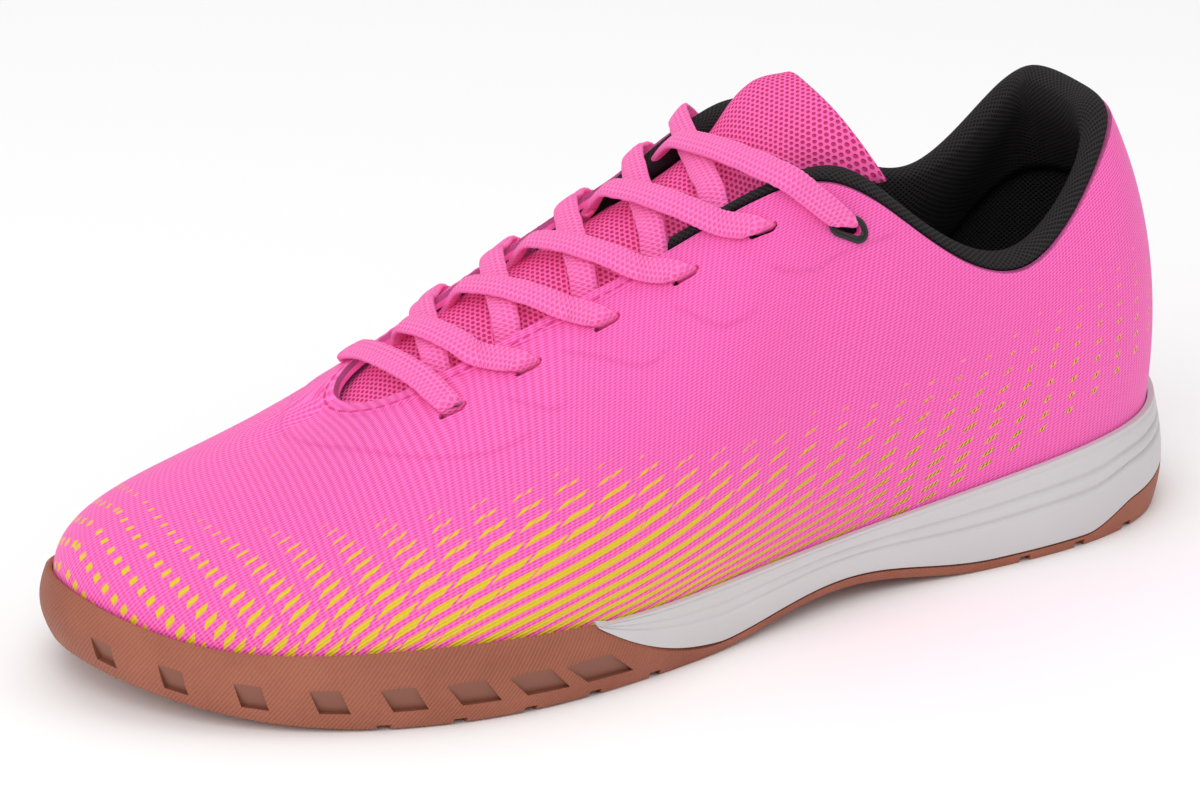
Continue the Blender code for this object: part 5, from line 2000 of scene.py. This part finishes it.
@dataclass
class Lacing(Part):
    """Flat lace: a bar at the toe end and crossings that run from under one edge to a slot."""

    collar: CollarLining
    wide: float = 6.3
    thick: float = 1.9
    lift: float = 0.25
    ring_lift: float = 0.9
    press: float = 0.25
    slot_narrow: float = 0.10
    samples: int = 90
    ring_points: int = 28
    wall_share: float = 0.3
    flat_power: float = 0.62
    tall_power: float = 0.8
    wave: float = 0.03
    wave_pitch: float = 1.15
    slot_far: float = 3.6
    slot_near: float = 1.6
    slot_rise: float = 0.3
    slot_sink: float = 0.8
    slot_up: float = 0.95
    slot_depths: tuple[float, ...] = (1.3, 5.0)
    far_hold: float = 0.3
    near_hold: float = 0.75
    start_open: float = 0.91
    start_lined: float = 0.965
    start_edge: float = 0.98
    start_clear: float = 0.3
    start_deep: float = 0.6
    bar_lateral: float = 0.800
    bar_medial: float = 0.836
    crossings: tuple[CrossingRow, ...] = (
        CrossingRow(0.785, 0.750, 0.782, 0.752),
        CrossingRow(0.735, 0.683, 0.722, 0.693),
        CrossingRow(0.680, 0.622, 0.661, 0.627),
        CrossingRow(0.610, 0.556, 0.600, 0.561),
        CrossingRow(0.540, 0.490, 0.546, 0.508),
    )
    under: Strap = Strap((-0.60, -0.20, 0.20, 0.66, 1.00), (0.95, 1.30, 1.45, 1.35, 0.70))
    over: Strap = Strap((-0.60, -0.20, 0.20, 0.66, 1.00), (1.60, 2.50, 2.70, 2.20, 1.15))
    bar: Strap = Strap((-1.0, -0.5, 0.0, 0.5, 1.0), (1.05, 1.80, 1.95, 1.80, 1.05))

    def over_throat(self, lateral_u: float, medial_u: float, side: float, rise: float) -> LacePlace:
        """Place over the throat, side -1 at the lateral edge and 1 at the medial.

        Args:
            lateral_u: Place of the lateral edge.
            medial_u: Place of the medial edge, counted from the heel.
            side: Share from edge to edge.
            rise: Height over the line between the edges, in millimetres.

        Returns:
            Place of the strap's middle line.
        """
        outer = self.last.frame(np.array(lateral_u), np.array(1.0))
        inner = self.last.frame(np.array(2.0 - medial_u), np.array(1.0))
        low = outer.point + self.press * self.collar.rise(lateral_u) * outer.climb
        high = inner.point + self.press * self.collar.rise(2.0 - medial_u) * inner.climb
        share = (side + 1.0) / 2.0
        normal = unit(outer.normal * (1.0 - share) + inner.normal * share)
        return LacePlace(low + (high - low) * share + rise * normal, normal, np.zeros(3))

    def on_wall(self, u: float, v: float, lift: float) -> LacePlace:
        """Place of the lace's middle line over the upper's outer face."""
        place = self.last.frame(np.array(u), np.array(v))
        return LacePlace(place.point + lift * place.normal, place.normal, np.zeros(3))

    def into_slot(self, u: float, v: float, edge_u: float, lift: float) -> list[LacePlace]:
        """Places where the lace, coming from the edge, turns down into a slot and ends inside.

        Args:
            u: Slot's place round the foot.
            v: Slot's place up the rib.
            edge_u: Place where the lace comes over the edge.
            lift: Height of what lies round the slot.

        Returns:
            Places in order, the strap's width turning into the slot's direction.
        """
        place = self.last.frame(np.array(u), np.array(v))
        rest = lift + self.lift + self.thick / 2.0
        way = place.point - self.last.surface(edge_u, 1.0)
        way = unit(way - (way @ place.normal) * place.normal)
        bent = unit(place.normal + way)
        far = place.point - self.slot_far * way + (rest + self.slot_rise) * place.normal
        sunk = self.slot_sink * rest + self.slot_rise
        near = place.point - self.slot_near * way + sunk * place.normal
        mouth = place.point + self.slot_up * place.climb
        places = [
            LacePlace(far, place.normal, self.far_hold * place.around),
            LacePlace(near, bent, self.near_hold * place.around),
        ]
        for deep in self.slot_depths:
            places.append(LacePlace(mouth - deep * place.normal, way, place.around))
        return places

    def strap(self, places: Sequence[LacePlace]) -> Patch:
        """Flat rounded section carried along places with their normals.

        The section is a flattened super-ellipse whose edges wave with the weave. Its width lies
        square to the path, and turns into the slot's direction where a slot holds it.

        Args:
            places: Places along the strap.

        Returns:
            Grid of the strap.
        """
        path = smooth_path(np.array([np.concatenate(place) for place in places]), self.samples)
        points, normals, slots = np.split(path, 3, axis=1)
        along = unit(np.gradient(points, axis=0))
        square = unit(np.cross(unit(normals), along))
        held = np.linalg.norm(slots, axis=-1, keepdims=True)
        agree = np.sign(np.sum(square * slots, axis=-1, keepdims=True))
        wide = unit(square * (1.0 - np.minimum(held, 1.0)) + agree * slots)
        normal = unit(np.cross(along, wide))
        travelled = lengths(points)
        turn = np.linspace(0.0, 2.0 * math.pi, self.ring_points, endpoint=False)
        flat = np.sign(np.cos(turn)) * np.abs(np.cos(turn)) ** self.flat_power
        tall = np.sign(np.sin(turn)) * np.abs(np.sin(turn)) ** self.tall_power
        waves = np.sin(2.0 * math.pi * travelled / self.wave_pitch)
        serrated = 1.0 + self.wave * waves[:, None]
        narrowed = 1.0 - self.slot_narrow * np.minimum(held, 1.0)
        across = flat[None] * serrated * narrowed * self.wide / 2.0
        up = np.broadcast_to(tall[None] * self.thick / 2.0, across.shape)
        rings = points[:, None] + across[..., None] * wide[:, None] + up[..., None] * normal[:, None]
        rings = np.concatenate([pole(rings[0]), rings, pole(rings[-1])])
        length = np.concatenate([travelled[:1], travelled, travelled[-1:]])
        return cloth_patch(rings, length, flat * self.wide / 2.0)

    def crossing(
        self,
        shape: Strap,
        lateral_u: float,
        medial_u: float,
        to_side: Side,
        slot: tuple[float, float],
        ring: float,
    ) -> Patch:
        """Strap from under one edge, over the throat and the other edge, into a slot there.

        Args:
            shape: Places over the throat.
            lateral_u: Lateral edge's place.
            medial_u: Medial edge's place, counted from the heel.
            to_side: Side that the strap turns over.
            slot: Parameters of the slot.
            ring: Extra height over a top eyelet's ring.

        Returns:
            Grid of the strap.
        """
        start_u = 2.0 - medial_u if to_side is Side.LATERAL else lateral_u
        edge_u = lateral_u if to_side is Side.LATERAL else 2.0 - medial_u
        depth = -self.last.wall - self.thick / 2.0 - self.start_clear
        start_v = self.start_open if self.collar.rise(start_u) == 0.0 else self.start_lined
        places = [
            self.on_wall(start_u, start_v, depth - self.start_deep),
            self.on_wall(start_u, self.start_edge, depth),
        ]
        for side, high in zip(*shape):
            rise = high * self.thick + ring * max(side, 0.0)
            places.append(self.over_throat(lateral_u, medial_u, side * to_side.value, rise))
        slot_u, slot_v = slot
        u = edge_u + (slot_u - edge_u) * self.wall_share
        v = 1.0 + (slot_v - 1.0) * self.wall_share
        places.append(self.on_wall(u, v, ring + self.lift + self.thick / 2.0))
        return self.strap(places + self.into_slot(slot_u, slot_v, edge_u, ring))

    def build(self, finishes: Finishes) -> None:
        """Makes the bar and every crossing."""
        first = EYELETS[0]
        places = self.into_slot(first.lateral_u, first.v, self.bar_lateral, 0.0)[::-1]
        inside = len(self.slot_depths)
        places[:inside] = [place._replace(normal=-place.normal) for place in places[:inside]]
        for side, high in zip(*self.bar):
            places.append(self.over_throat(self.bar_lateral, self.bar_medial, side, high * self.thick))
        places += self.into_slot(2.0 - first.medial_u, first.v, 2.0 - self.bar_medial, 0.0)
        straps = {"lace_bar": [self.strap(places)]}
        for k, (row, eyelet) in enumerate(zip(self.crossings, EYELETS[1:]), start=1):
            ring = self.ring_lift if eyelet is EYELETS[-1] else 0.0
            outer = (eyelet.lateral_u, eyelet.v)
            inner = (2.0 - eyelet.medial_u, eyelet.v)
            over = self.crossing(self.over, row.over_edge, row.over_start, Side.LATERAL, outer, ring)
            under = self.crossing(self.under, row.under_start, row.under_edge, Side.MEDIAL, inner, ring)
            straps[f"lace_cross_{k}"] = [over, under]
        for node, patches in straps.items():
            piece = make_mesh(f"{node}_woven", self.last, patches, finishes.lace)
            settle(piece, [node])


@dataclass
class TopEyelets(Part):
    """Glossy rings round the two top lace slots, following the upper."""

    slot_long: float = SLOT_LONG
    slot_wide: float = SLOT_WIDE
    margin: float = 1.7
    thick: float = 0.9
    steps: int = 24
    section: int = 14

    def build(self, finishes: Finishes) -> None:
        """Makes a ring on each side with a rounded section."""
        top = EYELETS[-1]
        for side, u in ((Side.LATERAL, top.lateral_u), (Side.MEDIAL, 2.0 - top.medial_u)):
            place = self.last.frame(np.array(u), np.array(top.v))
            long = self.slot_long + 2.0 * self.margin
            wide = self.slot_wide + 2.0 * self.margin
            outer = stadium(place, long, wide, self.steps)
            inner = stadium(place, self.slot_long, self.slot_wide, self.steps)
            turn = np.linspace(0.0, 2.0 * math.pi, self.section, endpoint=False)
            share = (0.5 + 0.5 * np.cos(turn))[None, :, None]
            flat = inner[:, None] + (outer - inner)[:, None] * share
            grid_u = u + ((flat - place.point) @ place.around) / self.speed(u, top.v, 0)
            grid_v = top.v + ((flat - place.point) @ place.climb) / self.speed(u, top.v, 1)
            rise = self.last.gap + self.thick * (0.5 + 0.5 * np.sin(turn))[None]
            points = self.last.offset(grid_u, grid_v, np.broadcast_to(rise, grid_u.shape))
            name = f"top_eyelet_{side.name.lower()}"
            patch = Patch(points, wrap_rows=True, wrap_columns=True)
            piece = make_mesh(f"{name}_ring", self.last, [patch], finishes.ring)
            settle(piece, [name])

    def speed(self, u: float, v: float, axis: int) -> float:
        """Millimetres on the surface for one unit of u (axis 0) or v (axis 1).

        Args:
            u: Place round the foot.
            v: Place up the rib.
            axis: Number of the parameter.

        Returns:
            Millimetres.
        """
        du, dv = (STEP, 0.0) if axis == 0 else (0.0, STEP)
        ends = self.last.surface(u + du, v + dv) - self.last.surface(u - du, v - dv)
        return float(np.linalg.norm(ends) / (2.0 * STEP))


@dataclass
class Stitching(Part):
    """Row of lock stitches along the folded edge of the throat."""

    below: float = SEWN_BELOW
    start_u: float = 0.60
    pitch: float = 3.0
    long: float = 2.3
    wide: float = 0.7
    proud: float = 0.35
    base: float = 0.28
    samples: int = 1200
    turns: int = 8
    rings: int = 7

    def build(self, finishes: Finishes) -> None:
        """Makes every stitch as a low ellipsoid lying in the sewn groove."""
        u = np.linspace(self.start_u, 2.0 - self.start_u, self.samples)
        v = 1.0 - self.below / self.last.edge_speed(u)
        travelled = lengths(self.last.surface(u, v))
        at = np.interp(np.arange(0.0, travelled[-1], self.pitch), travelled, u)
        place = self.last.frame(at, np.interp(at, u, v))
        turn = np.linspace(0.0, 2.0 * math.pi, self.turns, endpoint=False)
        axis = np.linspace(-1.0, 1.0, self.rings)
        girth = np.sqrt(np.clip(1.0 - axis**2, 0.0, None))
        along = axis * self.long / 2.0
        across = girth[:, None] * np.cos(turn) * self.wide / 2.0
        up = girth[:, None] * np.sin(turn) * self.proud
        base = place.point + self.base * place.normal
        grids = base[:, None, None] + along[None, :, None, None] * place.around[:, None, None]
        grids = grids + across[None, ..., None] * place.climb[:, None, None]
        grids = grids + up[None, ..., None] * place.normal[:, None, None]
        patches = [Patch(grid, wrap_columns=True) for grid in grids]
        piece = make_mesh("throat_stitches", self.last, patches, finishes.thread)
        settle(piece)


@dataclass
class Studio:
    """Pale floor, soft light and the camera at the photograph's angle."""

    azimuth: float = -28.0
    elevation: float = 22.0
    distance: float = 0.9722
    focal_px: float = 4384.0
    image_px: float = 1200.0
    sensor: float = 36.0
    target: tuple[float, float, float] = (-0.01798, -0.01491, 0.05338)
    clip: float = 0.05
    lamps: tuple[LightRow, ...] = (
        LightRow("key", (-0.7, -0.9, 1.3), 1.2, 9.4),
        LightRow("fill", (1.2, -0.9, 0.7), 1.0, 2.6),
        LightRow("top", (0.1, 0.5, 1.6), 1.4, 7.0),
        LightRow("toe", (-1.5, -0.3, 0.7), 0.9, 5.0),
    )
    surroundings: float = 0.54
    floor_half: float = 4.0

    def camera(self) -> None:
        """Places the camera on a line from its target."""
        turn = math.radians(self.azimuth)
        tilt = math.radians(self.elevation)
        back = (math.sin(turn) * math.cos(tilt), -math.cos(turn) * math.cos(tilt), math.sin(tilt))
        data = bpy.data.cameras.new("studio_camera")
        data.sensor_width = self.sensor
        data.lens = self.focal_px / self.image_px * self.sensor
        data.clip_start = self.clip
        camera = add_object("studio_camera", data)
        camera.location = [t + self.distance * b for t, b in zip(self.target, back)]
        camera.rotation_euler = (math.pi / 2.0 - tilt, 0.0, turn)
        bpy.context.scene.camera = camera

    def lights(self) -> None:
        """Adds a large key, a fill at the heel, lights over it and at the toe, and even surroundings."""
        for lamp in self.lamps:
            data = bpy.data.lights.new(lamp.name, "AREA")
            data.size = lamp.size
            data.energy = lamp.power
            light = add_object(lamp.name, data)
            light.location = lamp.place
            back = unit(np.array(lamp.place))
            light.rotation_euler = (math.acos(back[2]), 0.0, math.atan2(back[0], -back[1]))
        world = bpy.data.worlds.new("studio_world")
        world.use_nodes = True
        background = world.node_tree.nodes["Background"]
        background.inputs["Color"].default_value = (1.0, 1.0, 1.0, 1.0)
        background.inputs["Strength"].default_value = self.surroundings
        bpy.context.scene.world = world
        bpy.context.scene.view_settings.view_transform = "Standard"

    def floor(self, finishes: Finishes) -> None:
        """Adds the pale floor.

        Args:
            finishes: Materials of the shoe.
        """
        half = self.floor_half
        corners = [(-half, -half, 0.0), (half, -half, 0.0), (half, half, 0.0), (-half, half, 0.0)]
        mesh = bpy.data.meshes.new("studio_floor")
        mesh.from_pydata(corners, [], [(0, 1, 2, 3)])
        mesh.materials.append(finishes.paper)
        floor = add_object("studio_floor", mesh)


def main() -> None:
    """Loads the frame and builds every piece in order."""
    logging.basicConfig(level=logging.INFO, format="%(name)s %(message)s")
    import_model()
    last = Last()
    sole = Sole(last)
    finishes = Finishes.make()
    studio = Studio()
    studio.camera()
    studio.lights()
    studio.floor(finishes)
    collar = CollarLining(last)
    parts = (
        Outsole(last, sole),
        Midsole(last, sole),
        Upper(last),
        collar,
        Tongue(last),
        Insole(last, sole),
        Lacing(last, collar),
        TopEyelets(last),
        Stitching(last),
    )
    for part in parts:
        part.build(finishes)


if __name__ == "__main__":
    main()
